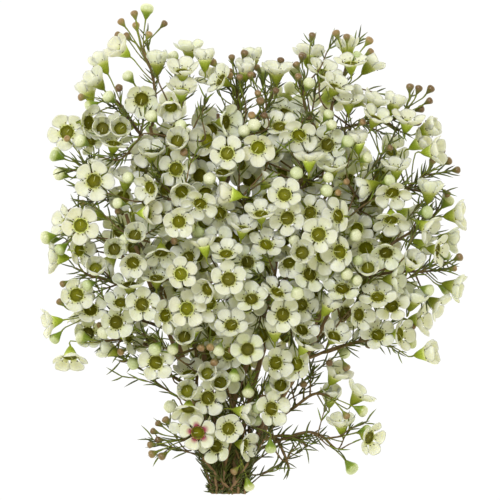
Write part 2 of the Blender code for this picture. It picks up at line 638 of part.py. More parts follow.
    def add_repeat(self, spray, place, facing, kind):
        """One blossom or bud on a spray, if the twig reaches it and there is room."""
        neck = place - facing * kind["neck"]
        root = self.best_root(spray, neck)
        if root is None:
            return False
        repeat = {"kind": kind, "place": place, "facing": facing, "neck": neck, "root": root,
                  "turn": self.draw.uniform(0, math.tau), "size": self.draw.uniform(*kind["sizes"]),
                  "lift": self.draw.choice(kind.get("lifts", (0,)))}
        repeat["lift"] += kind.get("side lift", 0) * (1 - abs(facing.z))
        repeat["shape"] = repeat_shape(repeat, root)
        repeat["head"] = repeat_shape(repeat, neck.lerp(root, 0.2))
        if not self.fits(spray, repeat):
            return False
        self.clearance.add(repeat["head"], spray["name"] + " heads")
        foot = root + (neck - root).normalized() * STALK_FOOT
        self.clearance.add(cone_shape(foot, neck, STALK_RADIUS * 1.3), spray["name"] + " stalks")
        spray["repeats"].append(repeat)
        return True

    def add_needles(self, spray, count):
        """Needles that lean forward all round a twig."""
        own = [spray["name"] + part for part in (" twig", " heads", " stalks")]
        placed = 0
        for _ in range(count * 8):
            root, along = along_route(spray["route"], self.draw.uniform(0.2, 0.97))
            around = axes_towards(along, self.draw.uniform(0, math.tau)) @ Vector((1, 0, 0))
            lean = self.draw.uniform(0.5, 0.95)
            direction = (along * math.cos(lean) + around * math.sin(lean)).normalized()
            tip = root + direction * self.draw.uniform(*NEEDLE_LENGTHS)
            shape = cone_shape(tip, root, NEEDLE_RADIUS)
            outer = cone_shape(tip, root.lerp(tip, 0.25), NEEDLE_RADIUS)
            if self.clearance.is_free(shape, own) and self.clearance.is_free(outer, (), 0.05):
                self.clearance.add(outer, spray["name"] + " heads")
                spray["needles"].append({"tip": tip, "root": root, "shape": shape})
                placed += 1
            if placed == count:
                return

    def add_by_hand(self, spray, blossoms, brown, pale):
        """The buds and blossoms of an outline spray, nudged in height until they fit."""
        tip = spray["route"][-1]
        for kind, spots in ((BROWN_BUD, brown), (PALE_BUD, pale)):
            for x, y in spots:
                place = Vector((x, y, tip.z))
                self.nudge([spray], place, (place - tip).normalized(), kind)
        for x, y, angle, look_up in blossoms:
            self.nudge([spray], Vector((x, y, tip.z)), looking(angle, look_up), BLOSSOM)

    def nudge(self, sprays, place, facing, kind):
        """Try a repeat on some sprays at nearby places, nearest first."""
        for attempt in range(NUDGES):
            stray = Vector([self.draw.uniform(-1, 1) for _ in range(3)]) * (0.4 + attempt * 0.09)
            stray.z *= 3.5
            turned = (facing + stray * 0.05).normalized()
            if any(self.add_repeat(spray, place + stray, turned, kind) for spray in sprays):
                return True
        return False

    def add_front(self):
        """The front of the head, placed by hand, foremost first, each on a twig that reaches it."""
        groups = ((BLOSSOM, FRONT_BLOSSOMS), (HALF_OPEN, FRONT_HALF_OPEN), (PALE_BUD, FRONT_PALE_BUDS),
                  (BROWN_BUD, FRONT_BROWN_BUDS))
        spots = [(spot, kind) for kind, group in groups for spot in group]
        for (x, y, *turned, depth), kind in sorted(spots, key=lambda item: item[0][-1]):
            place = from_picture(x, y, depth)
            away = (place - Vector((HEAD_MIDDLE.x, HEAD_MIDDLE.y, axis_height(place.y)))).normalized()
            facing = looking(*turned) if turned else (away + UP * FACING_UP).normalized()
            near = sorted(self.bearers(), key=lambda spray: distance_to_route(place, spray["route"]))
            self.nudge(near[:NEAR_SPRAYS], place, facing, kind)

    def add_resting_spray(self, name, x, y):
        """A low twig with a blossom that the head lies on."""
        place = Vector((x * 0.9, y * 0.9, 15.0))
        spray = self.add_twig(name, place, Vector((x, y, -26)).normalized())
        facing = Vector((x * 0.011, y * 0.011, -0.62)).normalized()
        for step in range(40):
            if self.add_repeat(spray, Vector((x, y, 6.0 + 0.1 * step)), facing, BLOSSOM):
                return

    def add_head_twigs(self, name, count, latitudes, depth):
        """Twigs spread evenly under the head's surface."""
        tips = [spray["route"][-1] for spray in self.sprays]
        for number in range(1, count + 1):
            spots = []
            for _ in range(60):
                latitude = math.asin(self.draw.uniform(*latitudes))
                place, facing = head_point(self.draw.uniform(0, math.tau), latitude, depth)
                spots.append((min((place - tip).length for tip in tips), place, facing))
            spots.sort(key=lambda spot: -spot[0])
            for _, place, facing in spots[:12]:
                if self.add_twig(f"{name}_{number:02d}", place, facing):
                    tips.append(place)
                    break

    def add_head_repeats(self, kind, count, depths, heights):
        """Repeats spread evenly over a belt of the head, each on a twig that reaches it."""
        sites = [repeat["place"] for spray in self.sprays for repeat in spray["repeats"]
                 if kind is BLOSSOM or repeat["kind"] is kind]
        placed = 0
        for _ in range(count * 3):
            spots = []
            for _ in range(30):
                latitude = math.asin(self.draw.uniform(*heights))
                depth = self.draw.uniform(*depths)
                place, facing = head_point(self.draw.uniform(0, math.tau), latitude, depth)
                spacing = FRONT_SPACING if latitude > -0.1 else BACK_SPACING
                room = min(((place - site).length for site in sites), default=99) / spacing
                spots.append((room, place, facing))
            spots.sort(key=lambda spot: -spot[0])
            place = self.add_at_first(spots[:14], kind)
            if place:
                placed += 1
                sites.append(place)
            if placed == count:
                break

    def bearers(self):
        """The sprays that bear blossoms and buds."""
        return [spray for spray in self.sprays if not spray["name"].startswith("leafy")]

    def add_at_first(self, spots, kind):
        """Add a repeat at the first spot with room for it, and say where."""
        for _, place, facing in spots:
            noise = Vector([self.draw.gauss(0, 1) for _ in range(3)]) * FACING_NOISE
            view = UP * FACING_UP if facing.z > 0 else Vector()
            turned = (facing + view + noise).normalized()
            near = sorted(self.bearers(), key=lambda s: distance_to_route(place, s["route"][-3:]))
            if any(self.add_repeat(spray, place, turned, kind) for spray in near[:3]):
                return place
        return None


def material(name, colour, roughness):
    """A plain material in the part's colour."""
    made = bpy.data.materials.new(name)
    made.use_nodes = True
    shader = made.node_tree.nodes["Principled BSDF"]
    shader.inputs["Base Color"].default_value = colour
    shader.inputs["Roughness"].default_value = roughness
    return made


def tube_object(name, route, radii, resolution):
    """A tapering tube along a route, as a mesh with its end caps welded."""
    curve = bpy.data.curves.new(name, "CURVE")
    curve.dimensions = "3D"
    curve.bevel_depth = 1.0
    curve.bevel_resolution = resolution
    curve.use_fill_caps = True
    spline = curve.splines.new("POLY")
    spline.points.add(len(route) - 1)
    for point, place, radius in zip(spline.points, route, radii):
        point.co = (*place, 1)
        point.radius = radius
    guide = bpy.data.objects.new(name + "_guide", curve)
    bpy.context.scene.collection.objects.link(guide)
    bpy.context.view_layer.update()
    evaluated = guide.evaluated_get(bpy.context.evaluated_depsgraph_get())
    mesh = bpy.data.meshes.new_from_object(evaluated)
    bpy.data.objects.remove(guide)
    weld = bmesh.new()
    weld.from_mesh(mesh)
    bmesh.ops.remove_doubles(weld, verts=weld.verts, dist=0.01)
    bmesh.ops.scale(weld, verts=weld.verts, vec=(MM, MM, MM))
    weld.to_mesh(mesh)
    weld.free()
    return bpy.data.objects.new(name, mesh)


def repeat_object(shape, collection):
    """One blossom, bud or needle as its own closed mesh."""
    verts, faces = shape
    mesh = bpy.data.meshes.new("repeat")
    mesh.from_pydata([v * MM for v in verts], [], faces)
    made = bpy.data.objects.new("repeat", mesh)
    collection.objects.link(made)
    return made


def fuse(twig, shapes):
    """Join a twig and its repeats in one body."""
    repeats = bpy.data.collections.new("Repeats")
    bpy.context.scene.collection.children.link(repeats)
    for shape in shapes:
        repeat_object(shape, repeats)
    union = twig.modifiers.new("Union", "BOOLEAN")
    union.operation = "UNION"
    union.operand_type = "COLLECTION"
    union.collection = repeats
    union.solver = "MANIFOLD"
    bpy.context.view_layer.update()
    evaluated = twig.evaluated_get(bpy.context.evaluated_depsgraph_get())
    joined = bpy.data.meshes.new_from_object(evaluated)
    twig.modifiers.remove(union)
    twig.data = joined
    for repeat in list(repeats.objects):
        bpy.data.objects.remove(repeat)
    bpy.data.collections.remove(repeats)


def bounds(objects):
    """Lowest and highest corner of some objects' meshes."""
    corners = [vertex.co for made in objects for vertex in made.data.vertices]
    low = Vector([min(corner[axis] for corner in corners) for axis in range(3)])
    high = Vector([max(corner[axis] for corner in corners) for axis in range(3)])
    return low, high


def spray_colour(name):
    """A spray's main colour, from its name."""
    for kind, colour in (("flower", PETAL_COLOUR), ("bud", BUD_COLOUR)):
        if name.startswith(kind):
            return colour
    return NEEDLE_COLOUR


def main():
    """Clear the scene, grow the bunch and stand it on its middle."""
    for old in list(bpy.data.objects):
        bpy.data.objects.remove(old)
    collection = bpy.data.collections.new(COLLECTION_NAME)
    bpy.context.scene.collection.children.link(collection)
    bunch = Bunch()
    bunch.grow()
    made = []
    for stem in bunch.stems:
        wood = tube_object(stem["name"], stem["route"], stem["radii"], 0)
        collection.objects.link(wood)
        wood.data.materials.append(material(stem["name"], BARK_COLOUR, 0.8))
        made.append(wood)
    for spray in bunch.sprays:
        twig = tube_object(spray["name"], spray["route"], spray["radii"], 0)
        collection.objects.link(twig)
        fuse(twig, [repeat["shape"] for repeat in spray["repeats"] + spray["needles"]])
        twig.data.materials.clear()
        twig.data.materials.append(material(spray["name"], spray_colour(spray["name"]), 0.6))
        made.append(twig)
    low, high = bounds(made)
    origin = bpy.data.objects.new("bunch_origin", None)
    origin.location = (-(low.x + high.x) / 2, -(low.y + high.y) / 2, -low.z)
    collection.objects.link(origin)
    for piece in made:
        piece.parent = origin


main()
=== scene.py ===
"""The looks of a bunch of cut waxflower, on the frame of its CAD model.

The first part lays the bunch out by the same rule as the CAD model, in millimetres.
The second part grows fine blossoms, buds, needles, twigs and bark on that layout, in metres.
"""

import math
import random

import bmesh
import bpy
import numpy as np
from mathutils import Matrix, Vector
from mathutils.bvhtree import BVHTree


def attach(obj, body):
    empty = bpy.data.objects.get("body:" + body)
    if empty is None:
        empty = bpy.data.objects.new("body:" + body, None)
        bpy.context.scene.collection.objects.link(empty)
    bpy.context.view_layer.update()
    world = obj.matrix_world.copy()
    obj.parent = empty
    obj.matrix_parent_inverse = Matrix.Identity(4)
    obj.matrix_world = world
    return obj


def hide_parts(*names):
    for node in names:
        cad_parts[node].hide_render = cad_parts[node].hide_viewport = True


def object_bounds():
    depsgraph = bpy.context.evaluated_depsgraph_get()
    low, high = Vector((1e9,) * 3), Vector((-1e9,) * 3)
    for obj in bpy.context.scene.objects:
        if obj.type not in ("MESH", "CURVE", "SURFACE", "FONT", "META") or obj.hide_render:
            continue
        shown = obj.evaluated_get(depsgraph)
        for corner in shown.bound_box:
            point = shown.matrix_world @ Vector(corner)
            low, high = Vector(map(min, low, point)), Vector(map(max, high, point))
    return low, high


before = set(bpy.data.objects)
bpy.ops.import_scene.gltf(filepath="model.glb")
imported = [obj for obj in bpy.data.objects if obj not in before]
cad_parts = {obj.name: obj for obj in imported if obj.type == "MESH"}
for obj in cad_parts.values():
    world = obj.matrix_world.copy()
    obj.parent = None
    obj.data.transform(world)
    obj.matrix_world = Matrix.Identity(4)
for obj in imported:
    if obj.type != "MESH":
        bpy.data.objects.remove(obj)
cad_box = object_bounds()

MM = 0.001
SEED = 4211
UP = Vector((0, 0, 1))

# Blossom
PETALS = 5
PETAL_HALF_ANGLE = math.radians(21)
CUP_RADIUS = 3.1
CUP_MIDDLE = 0.7
VALLEY_HEIGHT = -0.4
STALK_RADIUS = 0.48

# Kinds of repeat: how far the neck lies behind the middle, range of sizes, how far the petals'
# tips rise over the cup and how much more where the blossom is turned sideways, and a bud's skin
# and shape
BLOSSOM = {"neck": 5.0, "sizes": (0.94, 1.08), "reach": 9.2, "lifts": (0.9, 1.4, 2.0, 2.8),
           "side lift": 3.0}
HALF_OPEN = {"neck": 5.0, "sizes": (0.95, 1.05), "reach": 5.6, "lifts": (4.4, 5.0)}
PALE_BUD = {"skin": "pale bud", "neck": 4.4, "sizes": (0.85, 1.1), "radius": 3.0, "cap": 3.1,
            "sides": 5}
BROWN_BUD = {"skin": "brown bud", "neck": 3.0, "sizes": (0.85, 1.1), "radius": 1.9, "cap": 1.9,
             "sides": 4}

# Needles and stalks. Roots are shares of a twig, the foot is the share of a needle that may touch
# its twig, and a stalk's foot, best length and reach are in millimetres
NEEDLE_RADIUS = 0.42
NEEDLE_LENGTHS = (6.0, 11.0)
NEEDLE_LEANS = (0.5, 0.95)
NEEDLE_ROOTS = (0.2, 0.97)
NEEDLE_FOOT = 0.25
NEEDLE_CLEARANCE = 0.05
TRIES_PER_NEEDLE = 8
STALK_REACH = (3.0, 23.0)
STALK_BEST = 10.0
STALK_LEAN = (0.6, 1.45)
STALK_FOOT = 1.3
STALK_SWELL = 1.3
HEAD_STALK = 0.2
ROOT_STEPS = 24
ROOT_FIRST = 0.98
ROOT_SPAN = 0.8
ROOT_SPACING = 1.5
LEAN_COST = 6
CROWDING_COST = 9

# Stems and twigs. A stem's curve is pulled where it leaves the cut and arrives at its end, by
# shares of its run aside and ahead and by a rise. A twig costs something for each millimetre off
# its best length, each millimetre of length and each radian off its best lean
STEM_RADII = (1.5, 0.85)
TWIG_RADII = (0.85, 0.65)
STEM_STEPS = 9
STEM_TRIES = 200
STEM_WANDER = 0.15
STEM_LEAVING = (0.10, 0.34, 4.0)
STEM_ARRIVING = (0.30, 0.34, 5.0)
TWIG_STEPS = 4
TWIG_BEST = 34.0
TWIG_BEST_LEAN = 0.55
TWIG_COSTS = (0.5, 0.35, 22)
TWIG_FORKS = 20
LOWEST_FORK = 5
FORK_TRIES = 80
TWIG_BENDS = 4
TWIG_WANDER = 3.0
TWIG_PULL = 0.3
TWIG_SPREAD = 0.9

# Room: what all shapes keep from each other and from their own spray, how a twig sits on its
# stem, and how a blossom or bud is nudged until it fits
CLEARANCE = 0.34
OWN_CLEARANCE = 0.1
SEAT_GAP = 0.2
SEAT_SHARE = 0.6
SWELL_SHARE = 1.3
NUDGES = 30
NUDGE_START = 0.4
NUDGE_STEP = 0.09
NUDGE_RISE = 3.5
NUDGE_TURN = 0.05
NEAR_SPRAYS = 10

# Head: middle, mid height, and how far it swells towards the camera and towards the surface
CUT_Y = -122.4
HEAD_MIDDLE = Vector((2.0, 12.0, 0.0))
AXIS_HEIGHT_CUT = 8.0
AXIS_HEIGHT_HEAD = 37.0
FRONT_SWELL = 42.0
BACK_SWELL = 33.0
SWELL_AT_CUT = 8.0
SWELL_FULL_Y = -5.0
LOWEST_PETAL = 0.7

# Point on the bunch's middle line that a twig grows away from: a share of how far along the bunch
# the twig stands, plus a rise, and no nearer to the cut than this
ORIGIN_SHARE = 0.5
ORIGIN_RISE = 6
ORIGIN_LOWEST = -95

# Outline of the dense head: angle from +X in degrees, radius
HEAD_OUTLINE = (
    (0, 101), (30, 100), (48, 93), (60, 96), (76, 82), (90, 80), (105, 88), (120, 96), (137, 103),
    (152, 105), (180, 101), (205, 95), (237, 95), (250, 108), (262, 114), (272, 104), (281, 86),
    (298, 80), (314, 85), (330, 99), (345, 101),
)

# Blossoms that the rule places: how many, how deep, and between which heights of the head, where
# -1 is its lowest point and 1 its highest
RULED_BLOSSOMS = (
    (22, (5.0, 14.0), (0.72, 1.0)),
    (16, (12.0, 26.0), (-0.35, 0.3)),
    (16, (2.0, 10.0), (-0.9, -0.35)),
)
RULED_BUD_HEIGHTS = (-0.9, 0.3)
HEAD_PALE_BUDS = 4
HEAD_BROWN_BUDS = 4
FRONT_SPRAYS = 19
BACK_SPRAYS = 5
FRONT_LATITUDES = (0.1, 1.0)
BACK_LATITUDES = (-0.9, -0.2)
FRONT_TWIG_DEPTH = 17.0
BACK_TWIG_DEPTH = 13.0
NEEDLES_PER_SPRAY = 2
NEEDLES_PER_LEAFY_TWIG = 10
FRONT_SPACING = 13.0
BACK_SPACING = 27.0
BACK_LATITUDE = -0.1

# How the rule looks for room: spots drawn at a time, how many of them it tries, best first, and
# how many sprays and rounds
TWIG_SPOTS = 60
TWIG_SPOT_TRIES = 12
HEAD_SPOTS = 30
HEAD_SPOT_TRIES = 14
HEAD_SPRAYS = 3
HEAD_ROUNDS = 3
OUTER_POINTS = 3
ALL_ROOM = 99

# How blossoms are turned: the rule's ones at random about the head's surface, with a share upwards,
# and the listed ones by their look-up share, which TILT leans further over
FACING_NOISE = 0.36
FACING_UP = 0.35
TILT = 1.6

# Stems: where each is cut (x, height) and where its leafy end stands (x, y, height from the axis)
STEMS = (
    ((-17.6, 6.4), (-62, 18, 4)),
    ((-14.6, 2.0), (-46, -16, -10)),
    ((-12.8, 6.2), (-50, 62, -4)),
    ((-7.4, 13.4), (-16, 68, 4)),
    ((-13.0, 10.6), (14, 8, 9)),
    ((-8.4, 5.2), (42, 60, 0)),
    ((-4.2, 2.2), (52, 2, -6)),
    ((-3.6, 6.8), (40, -30, 6)),
)

# Sprays at the outline, listed one by one: tip of the twig (x, y, height from the axis), then
# blossoms (x, y, angle they face in degrees, how far they look up), brown buds and pale buds
OUTLINE_SPRAYS = (
    ("bud_spray_top_left", (-54, 101, 4), ((-63, 100, 140, 0.2),),
     ((-58, 118), (-64, 114), (-56, 112), (-66, 107), (-61, 107), (-43, 113), (-51, 107)),
     ((-51, 119),)),
    ("bud_spray_top_middle", (-7, 81, 6), ((-18, 84, 110, 0.5),),
     ((-18, 93), (-9, 96), (-3, 98), (-10, 89), (-4, 89), (1, 87)), ()),
    ("bud_spray_top", (12, 79, 3), (), ((9, 91), (15, 94), (12, 87), (4, 91)), ()),
    ("bud_spray_top_inner", (27, 84, 6), ((36, 88, 70, 0.4),), ((26, 96), (23, 92), (31, 107)), ()),
    ("bud_spray_top_right", (49, 92, 2), ((48, 99, 100, 0.1), (58, 92, 50, 0.2)),
     ((43, 108), (49, 106), (59, 104), (60, 99)), ((53, 97),)),
    ("bud_spray_right_high", (79, 68, 4), ((88, 60, 20, 0.3),),
     ((80, 81), (84, 80), (90, 80), (89, 74), (85, 70)), ()),
    ("bud_spray_right", (88, 38, 2), ((87, 29, 90, 0.2),),
     ((95, 49), (92, 45), (99, 44), (103, 40), (98, 28)), ()),
    ("flower_spray_right", (91, 15, 0), ((102, 17, 5, 0.1), (99, 5, -10, 0.3)), (), ((99, 24),)),
    ("bud_spray_right_low", (89, -11, 2), ((101, -18, -15, 0.1), (93, -26, -30, 0.3)),
     ((104, -4), (102, -9)), ((97, -3),)),
    ("flower_spray_far_right", (69, -47, 3), ((87, -52, 10, 0.3), (92, -34, 0, 0.7)), (),
     ((80, -46),)),
    ("flower_spray_low_right", (40, -73, 2), ((42, -64, 60, 0.4), (54, -74, 50, 0.3)), ((48, -83),),
     ((56, -81),)),
    ("flower_spray_lowest_right", (39, -95, 2), ((46, -89, 95, 0.4), (61, -93, -15, 0.35)), (),
     ((58, -91), (51, -109))),
    ("bud_spray_low_left", (-34, -96, 0), ((-29, -86, 120, 0.5),),
     ((-46, -87), (-42, -86), (-48, -91), (-46, -95), (-50, -98), (-49, -102), (-44, -103)), ()),
    ("flower_spray_left_low", (-75, -46, 0), ((-90, -53, 270, 0.4), (-80, -42, 0, 0.9)), (),
     ((-84, -44),)),
    ("flower_spray_left", (-87, -33, 2), ((-98.5, -36, 190, 0.2),), ((-95, -26),), ((-97, -44),)),
    ("bud_spray_left", (-83, -12, 3), ((-95, -4, 180, 0.1),), ((-93, -17),), ((-88, -20),)),
    ("bud_spray_left_middle", (-84, 9, 3), ((-92, 14, 160, 0.4),), ((-89, 19), (-84, 23)),
     ((-100, 5), (-95, 1))),
    ("flower_spray_left_high", (-83, 42, 3), ((-91.5, 59, 150, 0.9),), (), ((-97, 47), (-95, 38))),
    ("flower_spray_top_left", (-68, 76, 2), ((-76, 84, 130, 0.4), (-73, 91, 120, 0.1)),
     ((-84, 76),), ((-80, 72),)),
    ("bud_spray_bottom", (-4, -107, 9), (), ((-8, -111),), ((-1, -118),)),
    ("flower_spray_neck_left", (-20, -82, 8), ((-28, -89, 225, 0.8),), (), ()),
    ("flower_spray_neck_middle", (-7, -84, 10), (), (), ()),
    ("flower_spray_neck_right", (9, -74, 10), (), ((18, -79),), ((13, -85), (10, -99))),
)

# Front of the head, listed in the picture's pixels: x, y, the angle a blossom faces in
# degrees, how far it looks up, and how deep it sits
PIXEL = 0.5
PICTURE_MIDDLE = 250
FRONT_BLOSSOMS = (
    (142, 99, 270, 0.85, 0), (88, 122, 0, 0.6, 3), (182, 74, 90, 0.45, 1), (181, 93, 90, 0.5, 2),
    (115, 146, 80, 0.4, 4), (94, 181, 0, 0.95, 0), (151, 187, 200, 0.65, 1), (182, 192, 300, 0.75, 1),
    (179, 221, 270, 0.85, 1), (145, 215, 0, 0.5, 2), (81, 226, 0, 0.95, 0), (78, 250, 0, 0.65, 2),
    (133, 262, 270, 0.8, 1), (160, 253, 270, 0.5, 3), (199, 203, 250, 0.6, 3), (152, 155, 90, 0.5, 5),
    (205, 247, 100, 0.15, 3), (205, 222, 0, 0.8, 7), (228, 154, 90, 0.85, 0), (222, 173, 90, 0.6, 5),
    (224, 123, 0, 0.55, 1), (258, 147, 270, 0.8, 1), (300, 133, 270, 0.8, 1), (292, 150, 250, 0.65, 2),
    (284, 196, 90, 0.85, 0), (266, 187, 45, 0.6, 2), (232, 195, 170, 0.2, 2), (290, 218, 0, 1.0, 0),
    (262, 216, 90, 0.45, 3), (243, 233, 80, 0.6, 1), (264, 241, 80, 0.7, 1), (264, 261, 60, 0.6, 1),
    (227, 256, 90, 0.6, 2), (318, 235, 0, 0.95, 0), (311, 212, 0, 0.8, 5), (307, 197, 90, 0.6, 4),
    (339, 217, 180, 0.6, 1), (331, 173, 90, 0.5, 2), (308, 163, 90, 0.15, 1), (341, 252, 200, 0.7, 1),
    (180, 274, 60, 0.85, 0), (229, 279, 90, 0.9, 0), (209, 288, 200, 0.7, 4), (252, 299, 100, 0.7, 0),
    (277, 293, 60, 0.5, 4), (283, 314, 0, 0.9, 0), (232, 325, 90, 0.75, 0), (252, 355, 0, 0.95, 0),
    (276, 363, 0, 0.8, 2), (298, 365, 180, 0.8, 1), (301, 330, 60, 0.65, 1), (243, 387, 90, 0.85, 4),
    (333, 337, 60, 0.6, 2), (325, 311, 60, 0.4, 2), (333, 282, 300, 0.6, 3), (343, 290, 90, 0.65, 0),
    (305, 345, 60, 0.3, 3), (187, 309, 0, 0.85, 1), (143, 305, 0, 0.9, 0), (165, 315, 0, 0.65, 2),
    (122, 303, 90, 0.65, 3), (116, 322, 0, 0.85, 0), (124, 335, 0, 0.7, 3), (131, 286, 90, 0.45, 2),
    (157, 280, 90, 0.5, 3), (156, 363, 0, 0.9, 1), (192, 376, 90, 0.65, 3), (190, 329, 90, 0.5, 5),
    (78, 293, 0, 0.9, 1), (91, 311, 90, 0.75, 2), (76, 315, 270, 0.4, 3), (386, 249, 270, 0.75, 0),
    (391, 219, 270, 0.5, 3), (391, 191, 270, 0.6, 2), (371, 188, 200, 0.3, 3), (392, 306, 90, 0.8, 0),
    (377, 336, 90, 0.75, 0), (396, 333, 0, 0.5, 2), (358, 315, 0, 0.65, 3), (392, 279, 0, 0.4, 2),
    (413, 320, 0, 0.6, 3), (378, 293, 90, 0.5, 4), (424, 227, 330, 0.3, 1), (395, 170, 90, 0.35, 4),
    (348, 104, 90, 0.3, 3), (372, 104, 60, 0.15, 1), (392, 109, 70, 0.2, 1), (378, 120, 60, 0.15, 3),
    (348, 62, 95, 0.05, 0), (362, 68, 60, 0.1, 1), (335, 90, 60, 0.4, 2), (190, 52, 90, 0.2, 3),
    (222, 82, 150, 0.45, 1), (210, 88, 130, 0.1, 2), (245, 73, 90, 0.3, 3), (275, 74, 90, 0.2, 4),
    (305, 58, 90, 0.1, 1), (158, 66, 90, 0.1, 2), (208, 398, 0, 0.85, 0), (93, 90, 100, 0.2, 0),
    (404, 127, 80, 0.25, 4), (419, 143, 30, 0.15, 2), (432, 152, 5, 0.2, 1), (413, 196, 95, 0.15, 2),
    (429, 194, 80, 0.15, 1), (436, 250, 350, 0.4, 1), (104, 166, 90, 0.3, 5), (122, 184, 90, 0.6, 4),
    (411, 303, 70, 0.3, 4), (229, 429, 0, 0.95, -12), (217, 446, 200, 0.8, -10),
    (244, 446, 345, 0.45, -13), (206, 443, 200, 0.6, -6), (215, 417, 200, 0.75, 2),
    (243, 411, 350, 0.4, -5), (267, 411, 0, 0.75, -5), (192, 407, 270, 0.5, 3),
)
FRONT_HALF_OPEN = (
    (103, 129, 90, 0.9, 1), (121, 130, 90, 0.9, 1), (172, 107, 270, 0.7, 3), (177, 143, 90, 0.8, 1),
    (115, 250, 90, 0.9, 0), (136, 237, 90, 0.8, 1), (96, 270, 90, 0.8, 1), (301, 254, 90, 0.9, 0),
    (208, 374, 90, 0.85, 0), (221, 384, 90, 0.85, 1), (283, 389, 90, 0.85, 0), (274, 333, 90, 0.35, 2),
    (184, 337, 90, 0.8, 1), (368, 268, 90, 0.8, 0), (360, 147, 90, 0.5, 0), (187, 391, 90, 0.9, -3),
    (205, 62, 90, 0.05, 0), (252, 62, 90, 0.05, 1), (111, 352, 160, 0.1, 2), (411, 264, 60, 0.6, 1),
    (330, 399, 85, 0.6, 0),
)
FRONT_PALE_BUDS = (
    (110, 98, 0), (128, 77, 0), (82, 142, 0), (152, 117, 0), (181, 126, 0), (173, 57, 1), (61, 174, 2),
    (57, 153, 2), (129, 178, 0), (125, 240, 0), (189, 227, 0), (197, 232, 0), (120, 203, 1),
    (210, 179, 2), (295, 174, 0), (327, 178, 0), (326, 192, 1), (293, 240, 3), (255, 127, 1),
    (244, 133, 2), (325, 118, 0), (331, 126, 1), (308, 84, 2), (346, 143, 1), (366, 156, 0),
    (388, 182, 0), (354, 235, 0), (357, 260, 0), (425, 212, 1), (345, 273, 0), (357, 281, 0),
    (296, 293, 0), (219, 350, 1), (233, 374, 0), (156, 348, 1), (174, 349, 1), (88, 285, 1),
    (427, 290, 1), (256, 405, 0), (256, 420, 0), (248, 392, 0), (270, 387, 1), (51, 239, 2),
)
FRONT_BROWN_BUDS = (
    (185, 153, 0), (176, 244, 0), (337, 193, 1), (346, 183, 2), (121, 213, 1), (201, 347, 1),
    (211, 346, 1), (232, 350, 1), (215, 361, 1), (238, 367, 1), (286, 408, 1), (257, 95, 0),
    (260, 102, 0), (251, 116, 0), (265, 116, 0), (276, 92, 0), (298, 78, 0), (302, 57, 0), (230, 76, 0),
    (239, 78, 0), (251, 76, 0), (390, 147, 0), (361, 123, 1), (417, 123, 1),
)

# Twigs with needles only: tip of the twig (x, y, height from the axis)
LEAFY_TWIGS = ((29, -99, -2), (20, -111, 0), (-66, -56, -4))

# Two blossoms that the head lies on: x, y; then where their twigs end and lean, which way they
# face, and the heights that are tried for them
RESTING_BLOSSOMS = ((-50.0, 46.0), (54.0, 44.0))
RESTING_TWIG_SHARE = 0.9
RESTING_TWIG_HEIGHT = 15.0
RESTING_TWIG_DROP = -26.0
RESTING_LEAN = 0.011
RESTING_FACING_Z = -0.62
RESTING_HEIGHT = 6.0
RESTING_STEP = 0.1
RESTING_TRIES = 40


def smooth_step(value, low, high):
    """0 below low, 1 above high, smooth between."""
    t = min(max((value - low) / (high - low), 0.0), 1.0)
    return t * t * (3 - 2 * t)


def head_radius(angle):
    """Radius of the dense head towards an angle in radians."""
    degrees = math.degrees(angle) % 360
    following = HEAD_OUTLINE[1:] + ((360, HEAD_OUTLINE[0][1]),)
    for (start, near), (end, far) in zip(HEAD_OUTLINE, following):
        if degrees <= end:
            return near + (far - near) * (degrees - start) / (end - start)
    return HEAD_OUTLINE[0][1]


def axis_height(y):
    """Height of the bunch's middle over the surface."""
    rise = smooth_step(y, CUT_Y, SWELL_FULL_Y)
    return AXIS_HEIGHT_CUT + (AXIS_HEIGHT_HEAD - AXIS_HEIGHT_CUT) * rise


def swell(y, full):
    """Half thickness of the bunch, on the side whose full value is given."""
    return SWELL_AT_CUT + (full - SWELL_AT_CUT) * smooth_step(y, CUT_Y, SWELL_FULL_Y)


def head_point(angle, latitude, depth):
    """A point of the head's surface, sunk by depth, and the way that the surface faces there."""
    radius = head_radius(angle)
    ratio = math.cos(latitude)
    x = HEAD_MIDDLE.x + radius * ratio * math.cos(angle)
    y = HEAD_MIDDLE.y + radius * ratio * math.sin(angle)
    half = swell(y, FRONT_SWELL if latitude > 0 else BACK_SWELL)
    z = axis_height(y) + half * math.sin(latitude)
    facing = Vector((ratio * math.cos(angle) / radius, ratio * math.sin(angle) / radius,
                     math.sin(latitude) / half)).normalized()
    return Vector((x, y, z)) - facing * depth, facing


def from_picture(x, y, depth):
    """The place in the front of the head that a pixel of the picture shows."""
    place = Vector(((x - PICTURE_MIDDLE) * PIXEL, (PICTURE_MIDDLE - y) * PIXEL, 0))
    run = place - HEAD_MIDDLE
    share = min(math.hypot(run.x, run.y) / head_radius(math.atan2(run.y, run.x)), 1.0)
    rise = swell(place.y, FRONT_SWELL) * math.sqrt(1 - share * share)
    place.z = axis_height(place.y) + rise - depth
    return place


def looking(angle, look_up):
    """Direction that faces an angle in degrees and looks up by a share."""
    turned = math.radians(angle)
    flat = Vector((math.cos(turned), math.sin(turned), 0))
    return (flat * (1 - look_up) * TILT + UP * look_up).normalized()


def axes_towards(direction, turn):
    """Rotation whose Z axis points along a direction, turned about it."""
    return direction.to_track_quat("Z", "Y").to_matrix() @ Matrix.Rotation(turn, 3, "Z")


def leaning(along, turn, lean):
    """Direction that leans off another by an angle, to the side that a turn about it gives."""
    around = axes_towards(along, turn) @ Vector((1, 0, 0))
    return along * math.cos(lean) + around * math.sin(lean)


def any_way(draw):
    """Three random parts between -1 and 1."""
    return Vector([draw.uniform(-1, 1) for _ in range(3)])


def ring(count, radius, height, start=0.0):
    """Points evenly round the Z axis."""
    angles = [start + 2 * math.pi * i / count for i in range(count)]
    return [Vector((radius * math.cos(a), radius * math.sin(a), height)) for a in angles]


